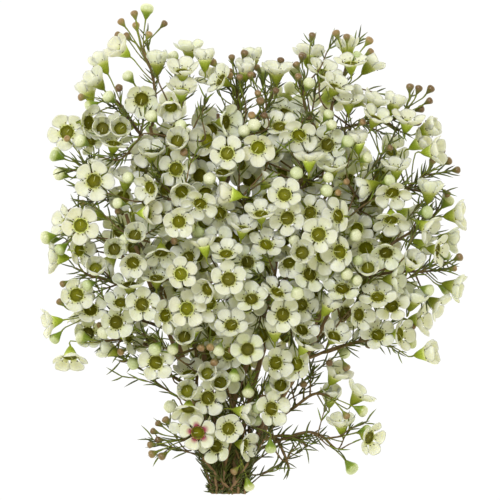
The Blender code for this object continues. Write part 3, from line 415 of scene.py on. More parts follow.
def loft(upper, lower, upper_start, lower_start):
    """Triangles between two closed rings of unlike counts, walked by how far round each has come."""
    faces = []
    i = 0
    j = 0
    while i < upper or j < lower:
        step_upper = j == lower or (i < upper and (i + 0.5) / upper <= (j + 0.5) / lower)
        a = upper_start + i % upper
        b = lower_start + j % lower
        if step_upper:
            faces.append((a, b, upper_start + (i + 1) % upper))
            i += 1
        else:
            faces.append((a, b, lower_start + (j + 1) % lower))
            j += 1
    return faces


def add_stalk(verts, faces, ring_start, ring_count, neck, base):
    """Close a ring of verts down to a three-sided stalk that ends in its twig."""
    neck_start = len(verts)
    turn = axes_towards((neck - base).normalized(), 0.0)
    for end in (neck, base):
        verts.extend(end + turn @ point for point in ring(3, STALK_RADIUS, 0.0))
    first = verts[ring_start]
    nearest = min(range(3), key=lambda k: (verts[neck_start + k] - first).length)
    order = [neck_start + (nearest + k) % 3 for k in range(3)]
    turned = {neck_start + k: order[k] for k in range(3)}
    for face in loft(ring_count, 3, ring_start, neck_start):
        faces.append(tuple(turned.get(v, v) for v in face))
    for k in range(3):
        near = order[k]
        far = order[(k + 1) % 3]
        faces.append((near, near + 3, far + 3))
        faces.append((near, far + 3, far))
    faces.append((order[0] + 3, order[2] + 3, order[1] + 3))


def blossom_shape(repeat, base):
    """Five wedge petals round a shallow cup, the green cone behind them and its stalk."""
    axes = axes_towards(repeat["facing"], repeat["turn"])
    length = repeat["kind"]["reach"] * repeat["size"]
    reach = math.sqrt(length**2 - repeat["lift"]**2 / 2)
    verts = [Vector((0, 0, CUP_MIDDLE))]
    valleys = []
    for petal in range(PETALS):
        middle = 2 * math.pi * petal / PETALS
        for angle in (middle - PETAL_HALF_ANGLE, middle + PETAL_HALF_ANGLE):
            verts.append(Vector((reach * math.cos(angle), reach * math.sin(angle), repeat["lift"])))
        angle = middle + math.pi / PETALS
        valleys.append(len(verts))
        verts.append(Vector((CUP_RADIUS * math.cos(angle), CUP_RADIUS * math.sin(angle), VALLEY_HEIGHT)))
    outline = len(verts) - 1
    faces = [(0, 1 + i, 1 + (i + 1) % outline) for i in range(outline)]
    for petal in range(PETALS):
        before = valleys[petal - 1]
        after = valleys[petal]
        faces.append((after - 2, before, after))
        faces.append((after - 2, after, after - 1))
    verts = [repeat["place"] + axes @ v for v in verts]
    rim = len(verts)
    verts.extend(verts[v] for v in valleys)
    add_stalk(verts, faces, rim, PETALS, repeat["neck"], base)
    joined = {rim + k: valleys[k] for k in range(PETALS)}
    return compact(verts, [tuple(joined.get(v, v) for v in face) for face in faces])


def bud_shape(repeat, base):
    """A bud: a pointed cap over a green cone, and its stalk."""
    kind = repeat["kind"]
    axes = axes_towards(repeat["facing"], repeat["turn"])
    verts = [Vector((0, 0, kind["cap"] * repeat["size"]))]
    verts += ring(kind["sides"], kind["radius"] * repeat["size"], 0.0)
    verts = [repeat["place"] + axes @ v for v in verts]
    faces = [(0, 1 + i, 1 + (i + 1) % kind["sides"]) for i in range(kind["sides"])]
    add_stalk(verts, faces, 1, kind["sides"], repeat["neck"], base)
    return compact(verts, faces)


def repeat_shape(repeat, base):
    """The closed shape of one blossom or bud, with the end of its stalk at base."""
    if "sides" in repeat["kind"]:
        return bud_shape(repeat, base)
    return blossom_shape(repeat, base)


def compact(verts, faces):
    """Drop the verts that no face uses."""
    used = sorted({v for face in faces for v in face})
    index = {v: i for i, v in enumerate(used)}
    return [verts[v] for v in used], [tuple(index[v] for v in face) for face in faces]


def cone_shape(tip, base, radius):
    """A three-sided needle, from a cone primitive."""
    mesh = bmesh.new()
    direction = tip - base
    place = Matrix.Translation((tip + base) / 2) @ axes_towards(direction.normalized(), 0.0).to_4x4()
    bmesh.ops.create_cone(mesh, cap_ends=True, segments=3, radius1=radius, radius2=0,
                          depth=direction.length, matrix=place)
    bmesh.ops.triangulate(mesh, faces=mesh.faces)
    verts = [v.co.copy() for v in mesh.verts]
    faces = [tuple(v.index for v in face.verts) for face in mesh.faces]
    mesh.free()
    return verts, faces


def tube_shape(points, radii, sides=4):
    """A tapering tube along points, for the clearance rule."""
    verts = []
    for i, point in enumerate(points):
        along = (points[min(i + 1, len(points) - 1)] - points[max(i - 1, 0)]).normalized()
        turn = axes_towards(along, 0.0)
        verts.extend(point + turn @ p for p in ring(sides, radii[i], 0.0))
    faces = []
    for i in range(len(points) - 1):
        for k in range(sides):
            a = i * sides + k
            b = i * sides + (k + 1) % sides
            faces.append((a, b, b + sides))
            faces.append((a, b + sides, a + sides))
    last = (len(points) - 1) * sides
    faces.append(tuple(range(sides))[::-1])
    faces.append(tuple(range(last, last + sides)))
    return verts, faces


def swollen(shape, margin):
    """The same shape with its surface moved out by a margin."""
    verts, faces = shape
    normals = [Vector() for _ in verts]
    for face in faces:
        a, b, c = (verts[v] for v in face[:3])
        normal = (b - a).cross(c - a).normalized()
        for v in face:
            normals[v] += normal
    moved = [v + n.normalized() * margin * SWELL_SHARE for v, n in zip(verts, normals)]
    return moved, faces


class Clearance:
    """Keeps what has been placed, and says whether a new shape would come too near to it."""

    def __init__(self):
        self.items = []

    def add(self, shape, owner):
        verts, faces = shape
        middle = sum(verts, Vector()) / len(verts)
        radius = max((v - middle).length for v in verts)
        self.items.append((middle, radius, BVHTree.FromPolygons(verts, faces), owner))

    def is_free(self, shape, ignored=(), margin=CLEARANCE, lowest=LOWEST_PETAL):
        verts, faces = swollen(shape, margin)
        if min(v.z for v in shape[0]) < lowest:
            return False
        middle = sum(verts, Vector()) / len(verts)
        radius = max((v - middle).length for v in verts)
        tree = None
        for other_middle, other_radius, other_tree, owner in self.items:
            if owner in ignored:
                continue
            if (other_middle - middle).length > other_radius + radius:
                continue
            if tree is None:
                tree = BVHTree.FromPolygons(verts, faces)
            if tree.overlap(other_tree):
                return False
        return True

    def meets(self, shape, owner):
        """Whether a shape crosses what one owner has placed."""
        tree = BVHTree.FromPolygons(*shape)
        return any(tree.overlap(item[2]) for item in self.items if item[3] == owner)


def bezier(start, start_pull, end_pull, end, steps):
    """Points along a cubic curve."""
    points = []
    for i in range(steps):
        t = i / (steps - 1)
        s = 1 - t
        points.append(start * s**3 + start_pull * (3 * s * s * t)
                      + end_pull * (3 * s * t * t) + end * t**3)
    return points


def tapered(radii, steps):
    """Radii from the first to the last of a pair."""
    return [radii[0] + (radii[1] - radii[0]) * i / (steps - 1) for i in range(steps)]


def stem_route(cut, end, wander):
    """A stem: straight in the bundle, then fanning out to its leafy end."""
    start = Vector((cut[0], CUT_Y, cut[1]))
    tip = Vector((end[0], end[1], axis_height(end[1]) + end[2]))
    run = tip - start
    aside, ahead, rise = STEM_LEAVING
    start_pull = start + Vector((run.x * aside, run.y * ahead, rise)) + wander
    aside, ahead, rise = STEM_ARRIVING
    end_pull = tip - Vector((run.x * aside, run.y * ahead, rise)) - wander
    return bezier(start, start_pull, end_pull, tip, STEM_STEPS)


def along_route(points, share):
    """Point and direction at a share of a route's steps."""
    place = share * (len(points) - 1)
    i = min(int(place), len(points) - 2)
    point = points[i].lerp(points[i + 1], place - i)
    return point, (points[i + 1] - points[i]).normalized()


def distance_to_route(point, route):
    """Shortest distance from a point to a route's points."""
    return min((point - p).length for p in route)


def lifted(x, y, rise):
    """A place given by its rise from the bunch's axis."""
    return Vector((x, y, axis_height(y) + rise))


def outward_at(place):
    """Level direction from the head's middle, or from the bundle below it."""
    origin_y = max(min(HEAD_MIDDLE.y, place.y * ORIGIN_SHARE + ORIGIN_RISE), ORIGIN_LOWEST)
    return (place - Vector((HEAD_MIDDLE.x, origin_y, place.z))).normalized()


class Bunch:
    """The whole layout: stems, twigs and what grows on them."""

    def __init__(self):
        self.draw = random.Random(SEED)
        self.clearance = Clearance()
        self.stems = []
        self.sprays = []

    def grow(self):
        """Place the stems, then the outline, then the head by rule."""
        for number, (cut, end) in enumerate(STEMS, 1):
            self.add_stem(f"woody_stem_{number}", cut, end)
        for name, tip, blossoms, brown, pale in OUTLINE_SPRAYS:
            place = lifted(*tip)
            spray = self.add_twig(name, place, outward_at(place))
            self.add_by_hand(spray, blossoms, brown, pale)
        for number, tip in enumerate(LEAFY_TWIGS, 1):
            place = lifted(*tip)
            spray = self.add_twig(f"leafy_twig_{number}", place, outward_at(place))
            self.add_needles(spray, NEEDLES_PER_LEAFY_TWIG)
        for number, (x, y) in enumerate(RESTING_BLOSSOMS, 1):
            self.add_resting_spray(f"flower_spray_low_{number}", x, y)
        self.add_head_twigs("flower_spray_front", FRONT_SPRAYS, FRONT_LATITUDES, FRONT_TWIG_DEPTH)
        self.add_head_twigs("flower_spray_back", BACK_SPRAYS, BACK_LATITUDES, BACK_TWIG_DEPTH)
        self.add_front()
        for count, depths, heights in RULED_BLOSSOMS:
            self.add_head_repeats(BLOSSOM, count, depths, heights)
        self.add_head_repeats(PALE_BUD, HEAD_PALE_BUDS, (-1.0, 5.0), RULED_BUD_HEIGHTS)
        self.add_head_repeats(BROWN_BUD, HEAD_BROWN_BUDS, (-3.0, 4.0), RULED_BUD_HEIGHTS)
        for spray in self.sprays:
            self.add_needles(spray, NEEDLES_PER_SPRAY)

    def add_stem(self, name, cut, end):
        """A stem, bent clear of those before it."""
        for attempt in range(STEM_TRIES):
            wander = any_way(self.draw) * STEM_WANDER * attempt
            route = stem_route(cut, end, wander)
            radii = tapered(STEM_RADII, STEM_STEPS)
            shape = tube_shape(route, radii)
            if self.clearance.is_free(shape, (), CLEARANCE, 0.0):
                self.clearance.add(shape, name)
                self.stems.append({"name": name, "route": route, "radii": radii})
                return

    def add_twig(self, name, tip, outward):
        """A twig from the side of a stem, bent clear of what is already there."""
        choices = []
        unlike_cost, length_cost, lean_cost = TWIG_COSTS
        for stem in self.stems:
            for step in range(LOWEST_FORK, TWIG_FORKS + 1):
                point, along = along_route(stem["route"], step / TWIG_FORKS)
                run = tip - point
                lean = along.angle(run, 0.0)
                cost = (abs(run.length - TWIG_BEST) * unlike_cost + run.length * length_cost
                        + abs(lean - TWIG_BEST_LEAN) * lean_cost)
                choices.append((cost, stem["name"], step / TWIG_FORKS))
        choices.sort()
        routes = {stem["name"]: stem["route"] for stem in self.stems}
        for _, stem_name, share in choices[:FORK_TRIES]:
            point, along = along_route(routes[stem_name], share)
            run = tip - point
            side = (run - along * run.dot(along)).normalized()
            girth = STEM_RADII[0] + (STEM_RADII[1] - STEM_RADII[0]) * share
            start = point + side * (girth + SEAT_GAP + TWIG_RADII[0] * SEAT_SHARE)
            leave = start + (along + side * TWIG_SPREAD).normalized() * run.length * TWIG_PULL
            for bend in range(TWIG_BENDS):
                wander = any_way(self.draw) * TWIG_WANDER * bend
                arrive = tip - outward * run.length * TWIG_PULL + wander
                route = bezier(start, leave + wander, arrive, tip, TWIG_STEPS)
                radii = tapered(TWIG_RADII, TWIG_STEPS)
                shape = tube_shape(route, radii)
                if not self.clearance.is_free(shape, (stem_name,)):
                    continue
                if not self.clearance.is_free(shape, (), SEAT_GAP * SEAT_SHARE):
                    continue
                self.clearance.add(shape, name + " twig")
                spray = {"name": name, "route": route, "radii": radii, "repeats": [], "needles": []}
                self.sprays.append(spray)
                return spray
        return None

    def best_root(self, spray, neck):
        """Point of the twig from which a stalk to a neck leans forward at a natural length."""
        taken = [repeat["root"] for repeat in spray["repeats"]]
        best = None
        for step in range(ROOT_STEPS):
            root, along = along_route(spray["route"], ROOT_FIRST - ROOT_SPAN * step / ROOT_STEPS)
            run = neck - root
            lean = run.angle(along, 0.0)
            if not STALK_REACH[0] < run.length < STALK_REACH[1] or lean > STALK_LEAN[1]:
                continue
            crowding = sum((root - other).length < ROOT_SPACING for other in taken)
            cost = (abs(run.length - STALK_BEST) + LEAN_COST * abs(lean - STALK_LEAN[0])
                    + CROWDING_COST * crowding)
            if best is None or cost < best[0]:
                best = (cost, root)
        return None if best is None else best[1]

    def fits(self, spray, repeat):
        """Whether a repeat is clear of other sprays, and its outer part of its own spray too."""
        own = [spray["name"] + part for part in (" twig", " heads", " stalks")]
        if not self.clearance.is_free(repeat["shape"], own):
            return False
        run = repeat["neck"] - repeat["root"]
        foot = repeat["root"] + run.normalized() * STALK_FOOT
        outer_stalk = cone_shape(repeat["neck"], foot, STALK_RADIUS)
        if (not self.clearance.is_free(repeat["head"], (), OWN_CLEARANCE)
                or self.clearance.meets(outer_stalk, spray["name"] + " heads")
                or self.clearance.meets(outer_stalk, spray["name"] + " stalks")):
            return False
        return True

    def add_repeat(self, spray, place, facing, kind):
        """One blossom or bud on a spray, if the twig reaches it and there is room."""
        neck = place - facing * kind["neck"]
        root = self.best_root(spray, neck)
        if root is None:
            return False
        repeat = {"kind": kind, "place": place, "facing": facing, "neck": neck, "root": root,
                  "turn": self.draw.uniform(0, math.tau), "size": self.draw.uniform(*kind["sizes"]),
                  "lift": self.draw.choice(kind.get("lifts", (0,)))}
        repeat["lift"] += kind.get("side lift", 0) * (1 - abs(facing.z))
        repeat["shape"] = repeat_shape(repeat, root)
        repeat["head"] = repeat_shape(repeat, neck.lerp(root, HEAD_STALK))
        if not self.fits(spray, repeat):
            return False
        self.clearance.add(repeat["head"], spray["name"] + " heads")
        foot = root + (neck - root).normalized() * STALK_FOOT
        self.clearance.add(cone_shape(foot, neck, STALK_RADIUS * STALK_SWELL), spray["name"] + " stalks")
        spray["repeats"].append(repeat)
        return True

    def add_needles(self, spray, count):
        """Needles that lean forward all round a twig."""
        own = [spray["name"] + part for part in (" twig", " heads", " stalks")]
        placed = 0
        for _ in range(count * TRIES_PER_NEEDLE):
            root, along = along_route(spray["route"], self.draw.uniform(*NEEDLE_ROOTS))
            turn = self.draw.uniform(0, math.tau)
            way = leaning(along, turn, self.draw.uniform(*NEEDLE_LEANS)).normalized()
            tip = root + way * self.draw.uniform(*NEEDLE_LENGTHS)
            shape = cone_shape(tip, root, NEEDLE_RADIUS)
            outer = cone_shape(tip, root.lerp(tip, NEEDLE_FOOT), NEEDLE_RADIUS)
            if (self.clearance.is_free(shape, own)
                    and self.clearance.is_free(outer, (), NEEDLE_CLEARANCE)):
                self.clearance.add(outer, spray["name"] + " heads")
                spray["needles"].append((root, tip))
                placed += 1
            if placed == count:
                return

    def add_by_hand(self, spray, blossoms, brown, pale):
        """The buds and blossoms of an outline spray, nudged in height until they fit."""
        tip = spray["route"][-1]
        for kind, spots in ((BROWN_BUD, brown), (PALE_BUD, pale)):
            for x, y in spots:
                place = Vector((x, y, tip.z))
                self.nudge([spray], place, (place - tip).normalized(), kind)
        for x, y, angle, look_up in blossoms:
            self.nudge([spray], Vector((x, y, tip.z)), looking(angle, look_up), BLOSSOM)

    def nudge(self, sprays, place, facing, kind):
        """Try a repeat on some sprays at nearby places, nearest first."""
        for attempt in range(NUDGES):
            stray = any_way(self.draw) * (NUDGE_START + attempt * NUDGE_STEP)
            stray.z *= NUDGE_RISE
            turned = (facing + stray * NUDGE_TURN).normalized()
            if any(self.add_repeat(spray, place + stray, turned, kind) for spray in sprays):
                return True
        return False

    def add_front(self):
        """The front of the head, at the listed spots, foremost first, each on a twig that reaches it."""
        groups = ((BLOSSOM, FRONT_BLOSSOMS), (HALF_OPEN, FRONT_HALF_OPEN), (PALE_BUD, FRONT_PALE_BUDS),
                  (BROWN_BUD, FRONT_BROWN_BUDS))
        spots = [(spot, kind) for kind, group in groups for spot in group]
        for (x, y, *turned, depth), kind in sorted(spots, key=lambda item: item[0][-1]):
            place = from_picture(x, y, depth)
            away = (place - Vector((HEAD_MIDDLE.x, HEAD_MIDDLE.y, axis_height(place.y)))).normalized()
            facing = looking(*turned) if turned else (away + UP * FACING_UP).normalized()
            self.nudge(self.nearest(place)[:NEAR_SPRAYS], place, facing, kind)

    def add_resting_spray(self, name, x, y):
        """A low twig with a blossom that the head lies on."""
        tip = Vector((x * RESTING_TWIG_SHARE, y * RESTING_TWIG_SHARE, RESTING_TWIG_HEIGHT))
        spray = self.add_twig(name, tip, Vector((x, y, RESTING_TWIG_DROP)).normalized())
        facing = Vector((x * RESTING_LEAN, y * RESTING_LEAN, RESTING_FACING_Z)).normalized()
        for step in range(RESTING_TRIES):
            place = Vector((x, y, RESTING_HEIGHT + RESTING_STEP * step))
            if self.add_repeat(spray, place, facing, BLOSSOM):
                return

    def add_head_twigs(self, name, count, latitudes, depth):
        """Twigs spread evenly under the head's surface."""
        tips = [spray["route"][-1] for spray in self.sprays]
        for number in range(1, count + 1):
            spots = []
            for _ in range(TWIG_SPOTS):
                latitude = math.asin(self.draw.uniform(*latitudes))
                place, facing = head_point(self.draw.uniform(0, math.tau), latitude, depth)
                spots.append((min((place - tip).length for tip in tips), place, facing))
            spots.sort(key=lambda spot: -spot[0])
            for _, place, facing in spots[:TWIG_SPOT_TRIES]:
                if self.add_twig(f"{name}_{number:02d}", place, facing):
                    tips.append(place)
                    break

    def add_head_repeats(self, kind, count, depths, heights):
        """Repeats spread evenly over a belt of the head, each on a twig that reaches it."""
        sites = [repeat["place"] for spray in self.sprays for repeat in spray["repeats"]
                 if kind is BLOSSOM or repeat["kind"] is kind]
        placed = 0
        for _ in range(count * HEAD_ROUNDS):
            spots = []
            for _ in range(HEAD_SPOTS):
                latitude = math.asin(self.draw.uniform(*heights))
                depth = self.draw.uniform(*depths)
                place, facing = head_point(self.draw.uniform(0, math.tau), latitude, depth)
                spacing = FRONT_SPACING if latitude > BACK_LATITUDE else BACK_SPACING
                room = min(((place - site).length for site in sites), default=ALL_ROOM) / spacing
                spots.append((room, place, facing))
            spots.sort(key=lambda spot: -spot[0])
            place = self.add_at_first(spots[:HEAD_SPOT_TRIES], kind)
            if place:
                placed += 1
                sites.append(place)
            if placed == count:
                break

    def bearers(self):
        """The sprays that bear blossoms and buds."""
        return [spray for spray in self.sprays if not spray["name"].startswith("leafy")]

    def nearest(self, place, points=TWIG_STEPS):
        """The bearing sprays, nearest first by the outer points of their twigs."""
        return sorted(self.bearers(),
                      key=lambda spray: distance_to_route(place, spray["route"][-points:]))

    def add_at_first(self, spots, kind):
        """Add a repeat at the first spot with room for it, and say where."""
        for _, place, facing in spots:
            noise = Vector([self.draw.gauss(0, 1) for _ in range(3)]) * FACING_NOISE
            view = UP * FACING_UP if facing.z > 0 else Vector()
            turned = (facing + view + noise).normalized()
            near = self.nearest(place, OUTER_POINTS)[:HEAD_SPRAYS]
            if any(self.add_repeat(spray, place, turned, kind) for spray in near):
                return place
        return None


# What only the looks add, from here on. Places nearer than this, seen from above, count as one
SAME_PLACE = 4

# Deep blossoms under the widest gaps: how many, spots drawn for each and tried, how low and how
# deep they may sit, how far out in the head, and how much they tilt
GAP_BLOSSOMS = 120
GAP_SPOTS = 50
GAP_SPOT_TRIES = 12
GAP_LOWEST = 12.0
GAP_DEPTHS = (9.0, 46.0)
GAP_REACH = 0.62
GAP_TILT = 0.55

# Blossoms under holes in the head: a grid's step and its share of the head, how wide a hole is and
# how many open spots it has at least, how often, how deep, how far aside and how low they are tried
HOLE_STEP = 1.5
HOLE_REACH = 0.68
HOLE_WIDTH = 3.2
HOLE_LEAST = 5
HOLE_TRIES = 110
HOLE_DEPTHS = (14.0, 60.0)
HOLE_SPAN = 90.0
HOLE_SPOTS = 14
HOLE_STRAY = 1.5
HOLE_LOWEST = 10.0
COVERED_SHARE = 0.85
FLATTEST = 0.3

# How much deeper, or higher, a blossom is tried that the CAD model has no room for; small buds
DEEPER = (2.0, -2.5, 4.0, -5.0, 7.0, -8.0, 10.0, -11.0, 13.0)
EXTRA_BROWN_BUDS = 14
EXTRA_PALE_BUDS = 12

# Leafy side shoots: how many, where they end, how far apart, and the needles on them
SHOOTS = 150
SHOOT_TRIES = 1500
SHOOT_DEPTHS = (1.0, 14.0)
SHOOT_SPACING = 8.0
SHOOT_SPREAD = 1.5
SHOOT_GATHERING = 1.5
SHOOT_SPRAYS = 2
SHOOT_RADIUS = 0.5
SHOOT_CLEARANCE = 0.1
SHOOT_FOOT = 0.2
SHOOT_PAIRS = 5
SHOOT_PAIR_ROOM = 2.0
SHOOT_PAIR_STEP = 2.1
SHOOT_LEAFY_SHARE = 0.85
SHOOT_TIP_LEANS = (0.15, 0.4)
SHOOT_LEANS = (0.35, 0.8)
SHOOT_NEEDLES = (5.5, 9.5)
NEEDLES_PER_TWIG = 5

# Thin brown twigs that show between the blossoms: depth, then points in the picture's pixels
FRONT_TWIGS = (
    (3, (345, 216), (356, 190), (372, 168), (388, 146), (400, 122), (411, 96)),
    (4, (352, 214), (372, 200), (392, 190), (404, 184)), (2, (394, 242), (404, 224), (416, 208), (426, 197)),
    (2, (399, 262), (408, 246), (416, 228)), (3, (343, 322), (358, 300), (368, 282), (378, 262)),
    (2, (335, 328), (356, 305), (382, 292), (412, 276), (440, 262), (452, 264)),
    (4, (374, 330), (376, 310), (381, 288)), (3, (330, 352), (352, 344), (378, 340), (398, 352)),
    (3, (150, 134), (140, 138), (121, 160), (96, 156)),
    (3, (140, 202), (120, 197), (104, 192), (88, 186)), (3, (150, 242), (124, 232), (106, 216), (90, 204)),
    (3, (120, 240), (98, 238), (78, 240)), (4, (118, 312), (104, 298), (96, 284)),
    (4, (196, 372), (168, 352), (142, 346), (120, 352)), (3, (186, 364), (160, 344), (136, 330)),
    (2, (166, 98), (156, 76), (150, 58), (146, 36)), (2, (322, 104), (319, 78), (316, 58), (312, 44)),
    (2, (319, 70), (327, 52), (333, 42)), (3, (344, 72), (350, 50), (358, 42)),
    (3, (246, 112), (241, 88), (236, 68)), (3, (268, 128), (262, 104), (256, 84)),
    (2, (264, 172), (271, 156), (284, 148), (298, 128), (306, 116)), (4, (262, 160), (247, 140), (232, 118)),
    (4, (268, 150), (270, 130), (266, 112)), (3, (186, 184), (190, 166), (198, 150)),
    (4, (302, 182), (300, 166), (290, 152)), (3, (205, 140), (202, 118), (206, 100)),
    (3, (352, 190), (346, 172), (352, 150)), (3, (222, 372), (212, 348), (206, 330)),
    (1, (204, 457), (182, 451), (164, 446), (153, 441)), (1, (188, 452), (176, 439), (169, 427)),
    (1, (206, 455), (186, 453), (172, 449), (160, 456)),
    (2, (184, 408), (178, 398), (162, 388), (142, 380), (122, 377)),
    (2, (176, 396), (158, 384), (142, 370), (124, 358), (116, 352)),
    (3, (176, 384), (168, 362), (162, 344), (158, 334)),
    (-3, (262, 441), (290, 440), (304, 438), (318, 436)), (-3, (318, 437), (328, 446), (338, 450)),
    (-3, (338, 450), (350, 445), (362, 440)), (-3, (318, 435), (322, 420), (327, 404)),
    (-3, (340, 437), (350, 430), (366, 424)), (-3, (338, 450), (345, 438), (350, 430)),
    (-2, (248, 468), (262, 458), (280, 446), (290, 440)),
    (-2, (252, 476), (266, 473), (282, 464), (300, 452), (320, 441)),
    (-2, (284, 462), (292, 452), (302, 442)), (-2, (246, 486), (262, 476), (276, 470)),
    (2, (288, 398), (300, 384), (318, 370), (334, 358)), (2, (288, 402), (300, 394), (314, 384)),
    (2, (305, 388), (312, 378), (314, 370)),
    (8, (222, 440), (228, 420), (232, 402), (237, 386)), (9, (232, 440), (236, 416), (228, 396), (223, 380)),
    (8, (240, 432), (239, 410), (243, 392), (250, 378)), (10, (246, 432), (233, 406), (231, 390)),
    (9, (214, 436), (212, 412), (217, 390), (214, 372)), (7, (250, 430), (252, 408), (262, 392)),
)
FRONT_TWIG_RADII = (0.45, 0.24)
FRONT_TWIG_DROPS = (0.0, 1.5, 3.0, 4.5, 6.0)
FRONT_TWIG_FORKS = [0.15 + 0.05 * step for step in range(17)]
BEND_COST = 9.0
FRONT_LEANS = (0.3, 0.65)
FRONT_NEEDLES = (6.0, 10.0)
PAIR_SPACING = 4.4
PAIR_FIRST = 0.999
PAIR_SPAN = 0.85
PAIR_TURN = 1.57
PAIR_STRAY = 0.3

# How much sooner a petal's foot colour ends at its edges than along its middle
WEDGE = 0.3

# The one blossom whose petals are blushed at their foot, in the picture's pixels
BLUSHED = (194, 429)

# Thin stems that cross in the bundle: where each is cut (x, height) and two points further up
THIN_STEMS = (
    ((-8.5, 15.5), (-23.5, -104, 21), (-30, -88, 26)), ((-11.0, 16.0), (2.5, -102, 20), (13, -86, 26)),
    ((-18.6, 12.5), (-23.5, -106, 15), (-26, -92, 24)), ((-14.0, 15.0), (-12, -106, 19), (-8, -92, 27)),
    ((-3.0, 12.5), (0.5, -108, 14), (6, -94, 22)), ((-6.0, 15.0), (-5, -104, 18), (-3, -90, 26)),
    ((-16.5, 14.0), (-17.5, -106, 18), (-14, -90, 26)), ((-10.5, 13.0), (-9.5, -104, 15), (-12, -88, 22)),
    ((-15.8, 8.8), (-16, -106, 10), (-15, -90, 16)), ((-11.2, 7.6), (-11, -106, 10), (-12, -90, 14)),
    ((-5.9, 9.6), (-5, -106, 12), (-4, -90, 18)), ((-10.2, 4.0), (-11, -106, 6), (-14, -90, 10)),
    ((-17.4, 9.9), (-20, -106, 12), (-22, -90, 18)), ((-6.2, 4.0), (-4, -106, 6), (0, -90, 10)),
    ((-9.6, 10.4), (-13, -106, 12), (-19, -90, 17)), ((-5.2, 11.8), (-7.5, -106, 13), (-9, -90, 18)),
)
THIN_STEM_RADII = (0.8, 0.5)
THIN_STEM_RINGS = 40
THIN_STEM_SIDES = 10
NEEDLES_PER_THIN_STEM = 60
NEEDLED_RINGS = 36
THIN_LEANS = (0.25, 0.7)
THIN_NEEDLES = (5.0, 9.0)
# Needles in the bundle take only tints up to this one: painted shade for the shaded neck
PAINTED_SHADE_PALEST_IN_BUNDLE = 0.25
LOWEST_NEEDLE = 6.0

# Needles on the first rings above the cut: how much more they lean, and their share of length
CUT_RINGS = 5
CUT_LEAN = 0.5
CUT_LENGTH = 0.6

# Lamps: name, place, width in metres, power
LAMPS = (("key", (-0.45, 0.6, 1.4), 0.5, 12.4), ("fill", (0.8, -0.4, 1.1), 0.9, 2.6))
LAMP_COLOUR = (0.93, 0.945, 1.0)
SHADE_COLOUR = (1.0, 0.985, 0.49, 1)
SHADE_STRENGTH = 0.60
GLOW_COLOUR = (0.80, 0.80, 0.74, 1)
FLOOR_COLOUR = (0.75, 0.75, 0.70, 1)
FLOOR_SEEN = (1.03, 1.03, 1.03, 1)
BLACK = (0, 0, 0, 1)
FLOOR_WIDTH = 6.0
FLOOR_HEIGHT = -0.0016
LAMP_AIM = Vector((0, 0, 0.03))

# Camera, in metres: how far above the bunch's middle height, how far it sees, and half the width
# that it sees; and half the width of its film in millimetres
CAMERA_DISTANCE = 6.0
MIDDLE_HEIGHT = 0.04
SIGHT_END = 20.0
HALF_VIEW = 0.125
HALF_FILM = 18

# Fine blossom, in millimetres at size 1
FULLNESS = 1.08
BUD_FULLNESS = 1.08
HINGE = 2.9
HINGE_HEIGHT = 0.55
PETAL_LENGTH = 6.8
PETAL_HALF_WIDTH = 3.8
PETAL_THICKNESS = 0.34
ANY_TURN = 6.3

# Petal: waves round its edge, its width at the foot and how much it widens up to where it is full,
# how far it starts behind its hinge, how its sides, tip, middle groove and ripple rise, where its
# tip begins to curl and how far
EDGE_WAVES = ((3, 0.035), (5, 0.02))
FOOT_WIDTH = 0.58
MORE_WIDTH = 0.42
FULL_AT = 0.55
WIDENING = 1.4
FOOT_START = -0.5
SIDE_RISE = 0.9
TIP_RISE = 0.85
GROOVE_DEPTH = 0.16
GROOVE_WIDTH = 0.22
RIPPLE_HEIGHT = 0.10
RIPPLES = 4.5
CURL_START = 0.72
CURL_HEIGHT = 6
CURLS = (-0.5, 0.35)

# How blossoms differ: lean of their petals, bowl and roll, the share with raised petals, the
# half-open ones, and how unlike its neighbours one petal is
LEAN_STRAYS = (-0.03, 0.16)
BOWLS = (0.9, 1.7)
ROLLS = (0.3, 0.6)
RAISED_SHARE = 0.3
RAISED_LEANS = (0.15, 0.4)
HALF_OPEN_LEANS = (1.0, 1.2)
HALF_OPEN_BOWL = 1.8
TURN_STRAY = 0.04
WIDTH_SHARES = (0.94, 1.05)
UNLIKE = 0.08
CUP_RIBS = 10
CUP_RIB_DEPTH = 0.045

# Stamens round the rim and the style in the middle
STAMENS = 10
STAMEN_STRAY = 0.1
STAMEN_FOOT = (3.05, 0.9)
STAMEN_BEND = (3.25, 1.5)
STAMEN_REACHES = (3.5, 4.3)
STAMEN_HEIGHTS = (1.8, 2.3)
STAMEN_RADII = (0.13, 0.11, 0.08)
ANTHER_PROFILE = ((0.05, -0.36, 0.9), (0.38, 0.0, 1.0), (0.0, 0.36, 1.0))
STYLE_SWAYS = (1.2, 2.2)
STYLE_BEND = 0.3
STYLE_HEIGHTS = (0.3, 1.3, 2.3)
STYLE_RADII = (0.24, 0.2, 0.18)

# Seams between a bud's folded petals: how often they come and how far they wind, how wide they
# are, where they start and fade in, and how deep they are
SEAMS = 2.5
SEAM_WIND = 2.2
SEAM_WIDTH = 0.5
SEAM_START = 0.47
SEAM_FADE = 0.1
SEAM_DEPTH = 0.12
BUD_SIDES = 20
BUD_RIBS = 10
BUD_RIB_DEPTH = 0.025

# Stalks, needles, twigs and stems: rings along them, radii and sides
STALK_TUBE_RADII = (0.42, 0.36, 0.33, 0.33, 0.36, 0.42, 0.52)
STALK_SIDES = 5
STALK_BOW = 0.05
STALK_STRAIGHT = 3.0
STALK_STRAIGHT_SHARE = 0.25
NEEDLE_TUBE_RADII = (0.22, 0.43, 0.44, 0.32, 0.03)
NEEDLE_SIDES = 4
NEEDLE_SAG = 0.06
SHOOT_RADII = (0.5, 0.3)
TWIG_RINGS = 15
TWIG_SIDES = 8
TWIG_SWELLINGS = (0.96, 1.12)
TWIG_END = 0.1
STEM_RINGS = 110
STEM_SIDES = 18
STEM_FLOW = 22.0
THIN_STEM_FLOW = 8.0
CUT_FACE_SHARES = (1.0, 0.8, 0.02)
CUT_FACE_FLOW = (0.0, 0.3, 1.0)

